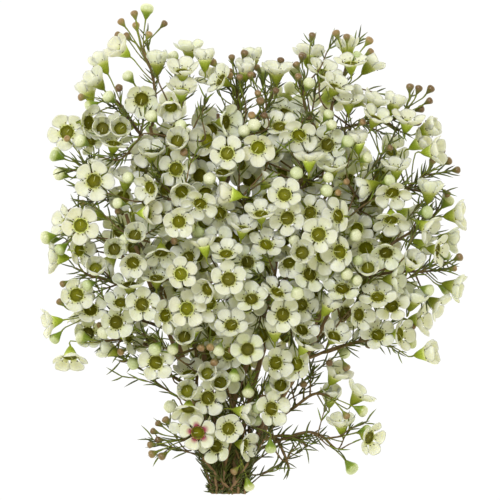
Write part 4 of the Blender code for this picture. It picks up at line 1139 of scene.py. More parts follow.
# Bark: ridges that wind along a stem, and knots
RIDGES = 5
RIDGE_COUNTS = (3, 9)
RIDGE_WIND = 3
RIDGE_TURNS = 4
RIDGE_DEPTHS = (0.018, 0.04)
KNOTS = 7
KNOT_PLACES = (0.08, 0.95)
KNOT_LENGTH = 0.012
KNOT_SHARPNESS = 3
KNOT_HEIGHT = 0.32

# Turned shapes: radius, height, and the place on the colour scale from stalk to middle
BLOSSOM_PROFILE = (
    (0.50, -5.0, 0.00), (0.85, -4.6, 0.06), (1.30, -3.9, 0.13), (1.75, -3.0, 0.22), (2.15, -2.0, 0.30),
    (2.50, -1.1, 0.38), (2.80, -0.3, 0.43), (3.08, 0.30, 0.48), (3.38, 0.72, 0.52), (3.36, 0.98, 0.56),
    (3.12, 1.02, 0.60), (2.90, 0.72, 0.66), (2.50, 0.42, 0.74), (1.50, 0.28, 0.84), (0.50, 0.34, 0.94),
    (0.0, 0.5, 1.00),
)
BROWN_BUD_PROFILE = (
    (0.50, -4.4, 0.00), (0.66, -4.0, 0.06), (0.95, -3.3, 0.14), (1.30, -2.5, 0.22), (1.72, -1.7, 0.30),
    (2.15, -0.9, 0.38), (2.50, -0.3, 0.46), (2.78, 0.4, 0.55), (2.92, 1.1, 0.64), (2.80, 1.8, 0.74),
    (2.35, 2.5, 0.84), (1.60, 3.0, 0.92), (0.80, 3.25, 0.97), (0.0, 3.32, 1.00),
)
BUD_PROFILE = (
    (0.48, -4.4, 0.00), (0.72, -4.0, 0.06), (1.05, -3.3, 0.14), (1.42, -2.5, 0.22), (1.85, -1.7, 0.30),
    (2.25, -1.0, 0.37), (2.55, -0.5, 0.42), (2.60, -0.3, 0.47), (2.80, 0.1, 0.53), (2.98, 0.7, 0.62),
    (2.90, 1.4, 0.72), (2.55, 2.1, 0.81), (1.90, 2.65, 0.90), (1.00, 2.95, 0.96), (0.0, 3.05, 1.00),
)


def disc_grid(steps):
    """A round patch of quads: how far across and along each vert is, and the under side's verts."""
    line = np.linspace(-1, 1, steps)
    u, v = np.meshgrid(line, line)
    index = np.arange(steps * steps).reshape(steps, steps)
    top = np.stack([index[:-1, :-1], index[1:, :-1], index[1:, 1:], index[:-1, 1:]], -1).reshape(-1, 4)
    inner = (np.abs(u) < 0.999) & (np.abs(v) < 0.999)
    under = index.ravel().copy()
    under[inner.ravel()] = steps * steps + np.arange(inner.sum())
    across = u * np.sqrt(1 - v * v / 2)
    along = v * np.sqrt(1 - u * u / 2)
    return {"across": across.ravel(), "along": along.ravel(), "inner": inner.ravel(),
            "quads": np.concatenate([top, under[top[:, ::-1]]])}


FINE_GRID = disc_grid(9)
COARSE_GRID = disc_grid(6)


def ring_quads(rings, sides):
    """Quads between rings of verts, facing out where the rings rise."""
    start = np.arange(rings - 1)[:, None] * sides
    here = np.arange(sides)[None, :]
    after = (here + 1) % sides
    quads = [start + here, start + after, start + after + sides, start + here + sides]
    return np.stack(quads, -1).reshape(-1, 4)


def turned_shape(profile, sides, size, ribs, rib_depth):
    """A turned shape about Z with ribs down it, from the stalk up to the middle."""
    rows = np.array(profile)
    angles = np.arange(sides) * (math.tau / sides)
    radius = rows[:, :1] * size * (1 + rib_depth * np.cos(ribs * angles))
    height = np.repeat(rows[:, 1:2], sides, 1)
    verts = np.stack([radius * np.cos(angles), radius * np.sin(angles), height], -1).reshape(-1, 3)
    flow = np.stack([np.tile(np.cos(angles), len(rows)), np.tile(np.sin(angles), len(rows)),
                     np.repeat(rows[:, 2], sides)], -1)
    return verts, ring_quads(len(rows), sides), flow


def smooth_route(points, steps):
    """A smooth line through points."""
    given = np.array([tuple(p) for p in points])
    padded = np.vstack([2 * given[0] - given[1], given, 2 * given[-1] - given[-2]])
    place = np.linspace(0, len(given) - 1, steps)
    i = np.minimum(place.astype(int), len(given) - 2)
    t = (place - i)[:, None]
    a, b, c, d = padded[i], padded[i + 1], padded[i + 2], padded[i + 3]
    return 0.5 * (2 * b + (c - a) * t + (2 * a - 5 * b + 4 * c - d) * t**2
                  + (3 * b - a - 3 * c + d) * t**3)


def curved_tube(points, radii, sides, flow_start=0.0, flow_end=1.0):
    """A tube along points without twist; radii is one number a point or a row of them."""
    ways = np.gradient(points, axis=0)
    ways /= np.linalg.norm(ways, axis=1, keepdims=True)
    side = np.cross(ways[0], (0.31, 0.52, 0.8))
    rows = []
    for way in ways:
        side = side - way * side.dot(way)
        side /= np.linalg.norm(side)
        rows.append(side)
    rows = np.array(rows)
    others = np.cross(ways, rows)
    angles = np.arange(sides) * (math.tau / sides)
    radii = np.array(radii).reshape(len(points), -1, 1)
    spokes = rows[:, None] * np.cos(angles)[:, None] + others[:, None] * np.sin(angles)[:, None]
    verts = (points[:, None] + spokes * radii).reshape(-1, 3)
    along = np.repeat(np.linspace(flow_start, flow_end, len(points)), sides)
    flow = np.stack([np.tile(np.cos(angles), len(points)), np.tile(np.sin(angles), len(points)),
                     along], -1)
    return verts, ring_quads(len(points), sides), flow


ANTHER = turned_shape(ANTHER_PROFILE, 4, 1.0, 1, 0.0)


def petal_shape(grid, half_width, lean, bowl, roll, draw):
    """One spoon of a petal that leans up from its hinge, closed, with a thin round edge."""
    across = grid["across"]
    along = grid["along"]
    far = across**2 + along**2
    angle = np.arctan2(across, along)
    wave = 1 + far * sum(depth * np.sin(count * angle + draw.uniform(0, ANY_TURN))
                         for count, depth in EDGE_WAVES)
    reach = (along * wave + 1) / 2
    width = FOOT_WIDTH + MORE_WIDTH * np.clip(reach / FULL_AT, 0, 1) ** WIDENING
    side = across * wave
    rise = bowl * (SIDE_RISE * side**2 + TIP_RISE * np.clip(2 * reach - 1, 0, 2) ** 2)
    rise += roll * side * reach - GROOVE_DEPTH * np.exp(-(side / GROOVE_WIDTH) ** 2) * reach
    rise += RIPPLE_HEIGHT * np.sin(RIPPLES * side + draw.uniform(0, ANY_TURN)) * reach**2
    rise += draw.uniform(*CURLS) * np.clip(reach - CURL_START, 0, 1) ** 2 * CURL_HEIGHT
    forward = FOOT_START + reach * PETAL_LENGTH
    thickness = PETAL_THICKNESS * (1 - far**2)
    upper = np.stack([forward, half_width * width * side, rise], -1)
    lower = upper - np.stack([0 * far, 0 * far, thickness], -1)
    shape = np.concatenate([upper, lower[grid["inner"]]])
    turned = np.stack([HINGE + shape[:, 0] * math.cos(lean) - shape[:, 2] * math.sin(lean), shape[:, 1],
                       HINGE_HEIGHT + shape[:, 0] * math.sin(lean) + shape[:, 2] * math.cos(lean)], -1)
    flow = np.stack([side, reach, 0 * far], -1)
    return turned, grid["quads"], np.concatenate([flow, flow[grid["inner"]]])


class FineMesh:
    """Gathers shapes with their materials, then makes one mesh of them."""

    def __init__(self):
        self.verts = []
        self.flow = []
        self.tint = []
        self.loops = []
        self.slots = []
        self.count = 0

    def add(self, shape, material, tint, axes=None, place=None):
        """Take in one shape, turned and moved to its place."""
        verts, quads, flow = shape
        if axes is not None:
            verts = verts @ np.array(axes).T
        if place is not None:
            verts = verts + np.array(place)
        self.verts.append(verts)
        self.flow.append(flow)
        self.tint.append(np.full(len(verts), tint))
        self.loops.append(quads + self.count)
        self.slots += [material] * len(quads)
        self.count += len(verts)

    def build(self, name, offset):
        """One object, its verts moved from the layout to the frame."""
        mesh = bpy.data.meshes.new(name)
        verts = np.concatenate(self.verts) * MM + np.array(offset)
        verts[:, 2] = np.maximum(verts[:, 2], 0)
        loops = np.concatenate(self.loops)
        mesh.vertices.add(len(verts))
        mesh.vertices.foreach_set("co", verts.ravel())
        mesh.loops.add(loops.size)
        mesh.loops.foreach_set("vertex_index", loops.ravel())
        mesh.polygons.add(len(loops))
        mesh.polygons.foreach_set("loop_start", np.arange(len(loops)) * 4)
        mesh.polygons.foreach_set("use_smooth", np.ones(len(loops), dtype=bool))
        used = sorted(set(self.slots))
        for material in used:
            mesh.materials.append(bpy.data.materials[material])
        index = {material: i for i, material in enumerate(used)}
        mesh.polygons.foreach_set("material_index", [index[material] for material in self.slots])
        mesh.update(calc_edges=True)
        mesh.attributes.new("flow", "FLOAT_VECTOR", "POINT").data.foreach_set(
            "vector", np.concatenate(self.flow).ravel())
        mesh.attributes.new("tint", "FLOAT", "POINT").data.foreach_set(
            "value", np.concatenate(self.tint))
        made = bpy.data.objects.new(name, mesh)
        bpy.context.scene.collection.objects.link(made)
        return made


def add_stalk_tube(fine, repeat, draw, tint):
    """The thin stalk between a twig and a blossom's or bud's neck."""
    root = repeat["root"]
    neck = repeat["neck"]
    run = (neck - root).length
    bow = any_way(draw) * run * STALK_BOW
    before = neck - repeat["facing"] * min(STALK_STRAIGHT, run * STALK_STRAIGHT_SHARE)
    points = smooth_route([root, root.lerp(before, 0.5) + bow, before, neck], len(STALK_TUBE_RADII))
    fine.add(curved_tube(points, STALK_TUBE_RADII, STALK_SIDES), "stalk", tint)


def add_stamens(fine, axes, place, size, draw, tint):
    """A pale leaning style, and ten short stamens round the rim, each with a dark anther."""
    lean = draw.uniform(0, math.tau)
    sway = np.array((math.cos(lean), math.sin(lean), 0)) * draw.uniform(*STYLE_SWAYS)
    low, middle, high = STYLE_HEIGHTS
    style = np.array([(0, 0, low), sway * STYLE_BEND + (0, 0, middle), sway + (0, 0, high)]) * size
    fine.add(curved_tube(style, STYLE_RADII, 4, 0.0, 0.3), "stamen", tint, axes, place)
    for k in range(STAMENS):
        angle = math.tau * (k + 0.5) / STAMENS + draw.uniform(-STAMEN_STRAY, STAMEN_STRAY)
        way = np.array((math.cos(angle), math.sin(angle), 0))
        outward = draw.uniform(*STAMEN_REACHES)
        foot = way * STAMEN_FOOT[0] * size + (0, 0, STAMEN_FOOT[1])
        bend = way * STAMEN_BEND[0] * size + (0, 0, STAMEN_BEND[1])
        tip = way * outward * size + (0, 0, draw.uniform(*STAMEN_HEIGHTS))
        thread = curved_tube(np.array([foot, bend, tip]), STAMEN_RADII, 3, 0.0, 0.5)
        fine.add(thread, "stamen", tint, axes, place)
        verts, quads, flow = ANTHER
        fine.add((verts + tip, quads, flow), "stamen", tint, axes, place)


def add_fine_blossom(fine, repeat, draw, deep):
    """Five waxy petals round an olive cup on its ribbed green cone."""
    blushed = (repeat["place"] - from_picture(*BLUSHED, 0)).xy.length < SAME_PLACE
    petal_name, cup_name = ("blushed petal", "blushed cup") if blushed else ("petal", "cup")
    axes = axes_towards(repeat["facing"], repeat["turn"])
    size = repeat["size"] * FULLNESS
    tint = draw.random()
    lean = math.asin((repeat["lift"] - HINGE_HEIGHT) / PETAL_LENGTH) + draw.uniform(*LEAN_STRAYS)
    bowl = draw.uniform(*BOWLS)
    roll = draw.choice((-1, 1)) * draw.uniform(*ROLLS)
    if draw.random() < RAISED_SHARE:
        lean += draw.uniform(*RAISED_LEANS)
    if repeat["kind"] is HALF_OPEN:
        lean = draw.uniform(*HALF_OPEN_LEANS)
        bowl = HALF_OPEN_BOWL
    grid = COARSE_GRID if deep else FINE_GRID
    for petal in range(PETALS):
        turned = math.tau * petal / PETALS + draw.uniform(-TURN_STRAY, TURN_STRAY)
        half_width = PETAL_HALF_WIDTH * draw.uniform(*WIDTH_SHARES)
        petal_lean = lean + draw.uniform(-UNLIKE, UNLIKE)
        verts, quads, flow = petal_shape(grid, half_width, petal_lean, bowl, roll, draw)
        shade = min(max(tint + draw.uniform(-UNLIKE, UNLIKE), 0.0), 1.0)
        turn = Matrix.Rotation(turned, 3, "Z")
        fine.add((verts * size, quads, flow), petal_name, shade, axes @ turn, repeat["place"])
    if deep:
        cone = turned_shape(BLOSSOM_PROFILE, CUP_RIBS, size, CUP_RIBS, 0.0)
    else:
        cone = turned_shape(BLOSSOM_PROFILE, 2 * CUP_RIBS, size, CUP_RIBS, CUP_RIB_DEPTH)
    fine.add(cone, cup_name, tint, axes, repeat["place"])
    if not deep:
        add_stamens(fine, axes, repeat["place"], size, draw, tint)
    add_stalk_tube(fine, repeat, draw, tint)


def add_fine_bud(fine, repeat, draw):
    """A round bud of folded petals in a green cone."""
    kind = repeat["kind"]
    axes = axes_towards(repeat["facing"], repeat["turn"])
    tint = draw.random()
    scale = kind["neck"] / PALE_BUD["neck"]
    wide = kind["radius"] / PALE_BUD["radius"] * repeat["size"] * BUD_FULLNESS
    profile = BUD_PROFILE if kind is PALE_BUD else BROWN_BUD_PROFILE
    rows = [(radius * wide, height * (scale if height < 0 else wide), flow)
            for radius, height, flow in profile]
    verts, quads, flow = turned_shape(rows, BUD_SIDES, 1.0, BUD_RIBS, BUD_RIB_DEPTH)
    angle = np.arctan2(verts[:, 1], verts[:, 0])
    seam = np.abs(np.sin(SEAMS * angle + SEAM_WIND * flow[:, 2])) ** SEAM_WIDTH
    cap = np.clip((flow[:, 2] - SEAM_START) / SEAM_FADE, 0, 1)[:, None]
    verts[:, :2] *= 1 - SEAM_DEPTH * cap * (1 - seam[:, None])
    # The seam measure also goes to the material, which paints shade into the seams
    flow[:, 0] = seam
    fine.add((verts, quads, flow), kind["skin"], tint, axes, repeat["place"])
    add_stalk_tube(fine, repeat, draw, tint)


def add_fine_needle(fine, root, tip, draw, palest=1.0):
    """A pointed, channelled needle with a slight curve."""
    sag = any_way(draw) * (tip - root).length * NEEDLE_SAG
    points = smooth_route([root, root.lerp(tip, 0.5) + sag, tip], len(NEEDLE_TUBE_RADII))
    tube = curved_tube(points, NEEDLE_TUBE_RADII, NEEDLE_SIDES)
    fine.add(tube, "needle", draw.uniform(0.0, palest))


def add_fine_twig(fine, route, radii, draw):
    """A red-brown twig with small swellings where needles sit."""
    points = smooth_route(route, TWIG_RINGS)
    even_radii = tapered((radii[0], radii[-1]), TWIG_RINGS)
    swollen_radii = [radius * TWIG_SWELLINGS[i % 2] for i, radius in enumerate(even_radii)]
    swollen_radii[-1] = TWIG_END
    fine.add(curved_tube(points, swollen_radii, TWIG_SIDES), "twig", draw.random())


def bark_radii(radii, rings, sides, draw):
    """Radii of a striated stem, with ridges that run along it and a few knots."""
    ridges = [(draw.randint(*RIDGE_COUNTS), draw.uniform(0, ANY_TURN),
               draw.uniform(-RIDGE_WIND, RIDGE_WIND), draw.uniform(*RIDGE_DEPTHS))
              for _ in range(RIDGES)]
    knots = [(draw.uniform(*KNOT_PLACES), draw.uniform(0, ANY_TURN)) for _ in range(KNOTS)]
    angles = np.arange(sides) * (math.tau / sides)
    along = np.linspace(0, 1, rings)[:, None]
    made = radii[0] + (radii[-1] - radii[0]) * along + 0 * angles
    bumps = sum(depth * np.sin(count * angles + start + twist * along * RIDGE_TURNS)
                for count, start, twist, depth in ridges)
    for place, angle in knots:
        around = np.clip(np.cos(angles - angle), 0, 1) ** KNOT_SHARPNESS
        bumps = bumps + KNOT_HEIGHT * (np.exp(-((along - place) / KNOT_LENGTH) ** 2) * around)
    return made * (1 + bumps)


def add_fine_stem(fine, stem, draw):
    """A woody stem with striated bark and a pale cut end."""
    points = smooth_route(stem["route"], STEM_RINGS)
    radii = bark_radii(stem["radii"], STEM_RINGS, STEM_SIDES, draw)
    tint = draw.random()
    tube = curved_tube(points, radii, STEM_SIDES, 0.0, STEM_FLOW)
    fine.add(tube, "bark", tint)
    end_ring = tube[0][:STEM_SIDES]
    middle = end_ring.mean(0)
    rings = [middle + (end_ring - middle) * share for share in CUT_FACE_SHARES]
    flow = np.zeros((len(rings) * STEM_SIDES, 3))
    flow[:, 2] = np.repeat(CUT_FACE_FLOW, STEM_SIDES)
    face = (np.concatenate(rings[::-1]), ring_quads(len(rings), STEM_SIDES), flow[::-1])
    fine.add(face, "cut wood", tint)


def add_thin_stem(fine, cut, middle, end, draw):
    """A thin stem that crosses the bundle, with needles along it kept dark as painted shade."""
    given = (Vector((cut[0], CUT_Y, cut[1])), Vector(middle), Vector(end))
    points = smooth_route(given, THIN_STEM_RINGS)
    radii = bark_radii(THIN_STEM_RADII, THIN_STEM_RINGS, THIN_STEM_SIDES, draw)
    tube = curved_tube(points, radii, THIN_STEM_SIDES, 0.0, THIN_STEM_FLOW)
    fine.add(tube, "bark", draw.random())
    for _ in range(NEEDLES_PER_THIN_STEM):
        ring_number = int(NEEDLED_RINGS * draw.random() ** 1.5)
        more_lean, share = (CUT_LEAN, CUT_LENGTH) if ring_number < CUT_RINGS else (0.0, 1.0)
        root = Vector(points[ring_number])
        along = (Vector(points[ring_number + 1]) - root).normalized()
        turn = draw.uniform(0, math.tau)
        way = leaning(along, turn, draw.uniform(*THIN_LEANS) + more_lean)
        tip = root + way * (draw.uniform(*THIN_NEEDLES) * share)
        if tip.z > LOWEST_NEEDLE and tip.y > CUT_Y:
            # Painted shade: needles in the bundle are held to the darker tints
            add_fine_needle(fine, root, tip, draw, PAINTED_SHADE_PALEST_IN_BUNDLE)


def add_gap_blossoms(bunch):
    """Blossoms deep in the head, under the widest gaps that show from above."""
    draw = bunch.draw
    seen = [repeat["place"].xy for spray in bunch.sprays for repeat in spray["repeats"]
            if "sides" not in repeat["kind"]]
    for _ in range(GAP_BLOSSOMS):
        spots = []
        for _ in range(GAP_SPOTS):
            angle = draw.uniform(0, math.tau)
            share = math.sqrt(draw.random()) * GAP_REACH
            radius = head_radius(angle) * share
            x = HEAD_MIDDLE.x + radius * math.cos(angle)
            y = HEAD_MIDDLE.y + radius * math.sin(angle)
            rise = swell(y, FRONT_SWELL) * math.sqrt(1 - share * share)
            height = max(axis_height(y) + rise - draw.uniform(*GAP_DEPTHS), GAP_LOWEST)
            place = Vector((x, y, height))
            tilt = axes_towards(UP, draw.uniform(0, math.tau)) @ Vector((GAP_TILT, 0, 0))
            room = min((place.xy - other).length for other in seen)
            spots.append((room, place, (UP + tilt).normalized()))
        spots.sort(key=lambda spot: -spot[0])
        place = bunch.add_at_first(spots[:GAP_SPOT_TRIES], BLOSSOM)
        if place:
            seen.append(place.xy)


def covered_by(repeat, spots):
    """Which spots, seen from above, lie under one blossom or bud."""
    kind = repeat["kind"]
    reach = COVERED_SHARE * kind.get("reach", kind.get("radius")) * repeat["size"]
    level = math.hypot(repeat["facing"].x, repeat["facing"].y) + 1e-6
    way = np.array((repeat["facing"].x, repeat["facing"].y)) / level
    run = spots - np.array(repeat["place"].xy)
    along = run @ way / max(abs(repeat["facing"].z), FLATTEST)
    across = run @ np.array((-way[1], way[0]))
    return along**2 + across**2 < reach**2


def add_hole_blossoms(bunch):
    """Blossoms deep in the head wherever the surface would still show through from above."""
    draw = bunch.draw
    line = np.arange(-HOLE_SPAN, HOLE_SPAN, HOLE_STEP)
    spots = np.stack(np.meshgrid(line, line), -1).reshape(-1, 2) + np.array(HEAD_MIDDLE.xy)
    share = np.array([(Vector(spot) - HEAD_MIDDLE.xy).length
                      / head_radius(math.atan2(spot[1] - HEAD_MIDDLE.y, spot[0] - HEAD_MIDDLE.x))
                      for spot in spots])
    spots = spots[share < HOLE_REACH]
    near = np.linalg.norm(spots[:, None] - spots[None], axis=2) < HOLE_WIDTH
    open_spots = np.ones(len(spots), dtype=bool)
    for spray in bunch.sprays:
        for repeat in spray["repeats"]:
            open_spots &= ~covered_by(repeat, spots)
    for _ in range(HOLE_TRIES):
        room = (near & open_spots).sum(1) * open_spots
        widest = int(room.argmax())
        if room[widest] < HOLE_LEAST:
            break
        x, y = spots[widest]
        tries = []
        for _ in range(HOLE_SPOTS):
            aside = draw.uniform(-HOLE_STRAY, HOLE_STRAY)
            stray = Vector((aside, draw.uniform(-HOLE_STRAY, HOLE_STRAY), 0))
            height = axis_height(y) + swell(y, FRONT_SWELL) - draw.uniform(*HOLE_DEPTHS)
            tries.append((0, Vector((x, y, max(height, HOLE_LOWEST))) + stray, UP))
        before = {spray["name"]: len(spray["repeats"]) for spray in bunch.sprays}
        bunch.add_at_first(tries, BLOSSOM)
        for spray in bunch.sprays:
            for repeat in spray["repeats"][before[spray["name"]]:]:
                open_spots &= ~covered_by(repeat, spots)
        open_spots[widest] = False


def add_left_out(bunch):
    """Blossoms and buds of the front that the CAD model has no room for, a little deeper or higher."""
    for kind, spots in ((BLOSSOM, FRONT_BLOSSOMS), (HALF_OPEN, FRONT_HALF_OPEN),
                        (PALE_BUD, FRONT_PALE_BUDS)):
        there = [repeat["place"].xy for spray in bunch.sprays for repeat in spray["repeats"]
                 if repeat["kind"] is kind]
        for x, y, *turned, depth in spots:
            place = from_picture(x, y, depth)
            if min((place.xy - other).length for other in there) < SAME_PLACE:
                continue
            near = bunch.nearest(place)[:NEAR_SPRAYS]
            facing = looking(*turned) if turned else UP
            for deeper in DEEPER:
                if bunch.nudge(near, place - UP * deeper, facing, kind):
                    break


def add_front_twigs(bunch):
    """Thin leafy twigs at the listed points between the blossoms, each from the nearest spray."""
    for spray in bunch.sprays:
        spray["front twigs"] = []
    for depth, *spots in FRONT_TWIGS:
        points = [from_picture(x, y, depth) for x, y in spots]
        ahead = points[1] - points[0]
        roots = [(along_route(spray["route"], share)[0], spray) for spray in bunch.bearers()
                 for share in FRONT_TWIG_FORKS]
        root, spray = min(roots, key=lambda found: (points[0] - found[0]).length
                          + BEND_COST * ahead.angle(points[0] - found[0], 0.0))
        own = [spray["name"] + part for part in (" twig", " stalks")]
        for drop in FRONT_TWIG_DROPS:
            route = [root] + [point - UP * drop for point in points]
            shape = tube_shape(route[1:], tapered(FRONT_TWIG_RADII, len(points)))
            if bunch.clearance.is_free(shape, own, 0.0):
                break
        spray["front twigs"].append(route)
        bunch.clearance.add(shape, spray["name"] + " shoots")
        add_needle_pairs(bunch, spray, route[1:])


def needle_pair(draw, foot, along, pair, leans, lengths):
    """The tips of two needles that lean forward from one foot, on opposite sides."""
    for opposite in (0.0, math.pi):
        turn = pair * PAIR_TURN + opposite + draw.uniform(-PAIR_STRAY, PAIR_STRAY)
        way = leaning(along, turn, draw.uniform(*leans))
        yield foot + way * draw.uniform(*lengths)


def add_needle_pairs(bunch, spray, route):
    """Needles in pairs along a front twig, leaning forward, closer towards its tip."""
    length = sum((b - a).length for a, b in zip(route, route[1:]))
    pairs = int(length / PAIR_SPACING)
    for pair in range(pairs):
        foot, along = along_route(route, PAIR_FIRST - PAIR_SPAN * pair / pairs)
        for tip in needle_pair(bunch.draw, foot, along, pair, FRONT_LEANS, FRONT_NEEDLES):
            spray["needles"].append((foot, tip))


def add_shoots(bunch):
    """Leafy side shoots that rise between the blossoms, with needles in pairs."""
    draw = bunch.draw
    for spray in bunch.sprays:
        spray["shoots"] = []
    tips = []
    for _ in range(SHOOT_TRIES):
        latitude = math.asin(1 - SHOOT_SPREAD * draw.random() ** SHOOT_GATHERING)
        tip, facing = head_point(draw.uniform(0, math.tau), latitude, draw.uniform(*SHOOT_DEPTHS))
        if any((tip - other).length < SHOOT_SPACING for other in tips):
            continue
        near = bunch.nearest(tip, OUTER_POINTS)[:SHOOT_SPRAYS]
        if any(add_shoot(bunch, spray, tip) for spray in near):
            tips.append(tip)
        if len(tips) == SHOOTS:
            break


def add_shoot(bunch, spray, tip):
    """One shoot from a twig, if its way is free."""
    root = bunch.best_root(spray, tip)
    if root is None:
        return False
    outer = cone_shape(tip, root.lerp(tip, SHOOT_FOOT), SHOOT_RADIUS)
    own = [spray["name"] + part for part in (" twig", " stalks")]
    if not bunch.clearance.is_free(outer, own, SHOOT_CLEARANCE):
        return False
    bunch.clearance.add(outer, spray["name"] + " shoots")
    spray["shoots"].append((root, tip))
    along = (tip - root).normalized()
    own.append(spray["name"] + " shoots")
    length = (tip - root).length
    for pair in range(min(SHOOT_PAIRS, int(length / SHOOT_PAIR_ROOM) + 1)):
        foot = tip - along * min(pair * SHOOT_PAIR_STEP, length * SHOOT_LEAFY_SHARE)
        leans = SHOOT_LEANS if pair else SHOOT_TIP_LEANS
        for end in needle_pair(bunch.draw, foot, along, pair, leans, SHOOT_NEEDLES):
            needle = cone_shape(end, foot.lerp(end, SHOOT_FOOT), NEEDLE_RADIUS)
            if bunch.clearance.is_free(needle, own, 0.0):
                spray["needles"].append((foot, end))
    return True


# Plant skin: noise at its darkest and palest, strength and depth of its relief, and its gloss
SPOT_DARKEST = 0.34
SPOT_PALEST = 0.6
RELIEF_STRENGTH = 0.4
SKIN_RELIEF = 0.0002
COAT_ROUGHNESS = 0.3


def nodes_for(name):
    """A new material's tree and shader."""
    made = bpy.data.materials.new(name)
    made.use_nodes = True
    return made.node_tree, made.node_tree.nodes["Principled BSDF"]


def linked(tree, node_type, links=(), **settings):
    """A node of a kind, with its settings and the sockets that feed it."""
    node = tree.nodes.new(node_type)
    for name, value in settings.items():
        setattr(node, name, value)
    for socket, source in links:
        tree.links.new(source, node.inputs[socket])
    return node


def carried(tree, name):
    """What each vert carries under a name: its place in the shape's own flow, or its tint."""
    return linked(tree, "ShaderNodeAttribute", attribute_name=name)


def ramp(tree, factor, stops):
    """A colour scale of (place, colour) stops."""
    node = linked(tree, "ShaderNodeValToRGB", ((0, factor),))
    while len(node.color_ramp.elements) < len(stops):
        node.color_ramp.elements.new(0.5)
    for element, (place, colour) in zip(node.color_ramp.elements, stops):
        element.position = place
        element.color = (*colour, 1) if isinstance(colour, tuple) else (colour, colour, colour, 1)
    return node.outputs[0]


def times(tree, first, second):
    """One colour multiplied by another."""
    node = linked(tree, "ShaderNodeMix", data_type="RGBA", blend_type="MULTIPLY")
    node.inputs["Factor"].default_value = 1.0
    tree.links.new(first, node.inputs["A"])
    tree.links.new(second, node.inputs["B"])
    return node.outputs["Result"]


def plant_skin_group():
    """Plant skin: darkens a colour in small spots by noise, and gives the spots as a height."""
    group = bpy.data.node_groups.new("plant skin", "ShaderNodeTree")
    for name, kind in (("Color", "Color"), ("Tint", "Color"), ("Spots", "Float"), ("Dark", "Float")):
        group.interface.new_socket(name, in_out="INPUT", socket_type="NodeSocket" + kind)
    group.interface.new_socket("Color", in_out="OUTPUT", socket_type="NodeSocketColor")
    group.interface.new_socket("Height", in_out="OUTPUT", socket_type="NodeSocketFloat")
    given = group.nodes.new("NodeGroupInput")
    out = group.nodes.new("NodeGroupOutput")
    place = group.nodes.new("ShaderNodeTexCoord")
    spots = linked(group, "ShaderNodeTexNoise", (("Vector", place.outputs["Object"]),
                                                ("Scale", given.outputs["Spots"])))
    shade = linked(group, "ShaderNodeMapRange", (("Value", spots.outputs["Fac"]),
                                                 ("To Min", given.outputs["Dark"])))
    shade.inputs["From Min"].default_value = SPOT_DARKEST
    shade.inputs["From Max"].default_value = SPOT_PALEST
    grey = linked(group, "ShaderNodeCombineColor", ((k, shade.outputs[0]) for k in range(3)))
    tinted = times(group, given.outputs["Color"], given.outputs["Tint"])
    group.links.new(times(group, tinted, grey.outputs[0]), out.inputs["Color"])
    group.links.new(spots.outputs["Fac"], out.inputs["Height"])
    return group


def skin(tree, shader, colour, tints, spots, dark, relief, grain=None):
    """Colour with a tint of each shape's own and the plant skin's spots; relief by them or a grain."""
    group = linked(tree, "ShaderNodeGroup", node_tree=bpy.data.node_groups["plant skin"])
    tree.links.new(colour, group.inputs["Color"])
    tree.links.new(ramp(tree, carried(tree, "tint").outputs["Fac"], tints), group.inputs["Tint"])
    group.inputs["Spots"].default_value = spots
    group.inputs["Dark"].default_value = dark
    tree.links.new(group.outputs["Color"], shader.inputs["Base Color"])
    bump = linked(tree, "ShaderNodeBump", (("Height", grain or group.outputs["Height"]),))
    bump.inputs["Strength"].default_value = RELIEF_STRENGTH
    bump.inputs["Distance"].default_value = relief
    tree.links.new(bump.outputs[0], shader.inputs["Normal"])
    return group.outputs["Height"]


def gloss(tree, shader, height, low, high, specular=0.4, coat=0.0):
    """Roughness from a height, and the strength of the gloss."""
    tree.links.new(ramp(tree, height, ((0.3, low), (0.7, high))), shader.inputs["Roughness"])
    shader.inputs["Specular IOR Level"].default_value = specular
    shader.inputs["Coat Weight"].default_value = coat
    shader.inputs["Coat Roughness"].default_value = COAT_ROUGHNESS


def flow_parts(tree):
    """The flow that each vert carries, whole and in its three parts."""
    flow = carried(tree, "flow").outputs["Vector"]
    return flow, linked(tree, "ShaderNodeSeparateXYZ", ((0, flow),)).outputs


def streaks_of(tree, flow, scales, scale, detail):
    """Streaks along a shape, from noise stretched along its flow."""
    stretched = linked(tree, "ShaderNodeVectorMath", ((0, flow),), operation="MULTIPLY")
    stretched.inputs[1].default_value = scales
    noise = linked(tree, "ShaderNodeTexNoise", (("Vector", stretched.outputs[0]),))
    noise.inputs["Scale"].default_value = scale
    noise.inputs["Detail"].default_value = detail
    return noise.outputs["Fac"]


def petal_material(name, foot, above, spread):
    """Waxy white, faintly veined, greenish or blushed for a way from where it leaves the cup."""
    tree, shader = nodes_for(name)
    flow, parts = flow_parts(tree)
    veins = streaks_of(tree, flow, (7.0, 0.9, 1.0), 1.6, 4.0)
    width = linked(tree, "ShaderNodeMath", ((0, parts["X"]), (1, parts["X"])), operation="MULTIPLY")
    wedge = linked(tree, "ShaderNodeMath", ((0, width.outputs[0]), (2, parts["Y"])),
                   operation="MULTIPLY_ADD")
    wedge.inputs[1].default_value = WEDGE * spread
    colour = ramp(tree, wedge.outputs[0], (
        (0.0, foot), (0.14 * spread, above), (0.32 * spread, (0.80, 0.81, 0.72)),
        (1.0, (0.88, 0.885, 0.865))))
    colour = times(tree, colour, ramp(tree, veins, ((0.3, 0.9), (0.6, 1.0))))
    height = skin(tree, shader, colour, (
        (0.0, (0.93, 0.96, 0.90)), (0.35, (1.0, 1.0, 1.0)), (0.85, (1.0, 1.0, 1.0)),
        (1.0, (1.0, 0.975, 0.93))), 700.0, 0.95, SKIN_RELIEF)
    gloss(tree, shader, height, 0.36, 0.52, 0.4, 0.05)
    shader.inputs["Subsurface Weight"].default_value = 0.4
    shader.inputs["Subsurface Radius"].default_value = (1.0, 0.95, 0.6)
    shader.inputs["Subsurface Scale"].default_value = 0.001


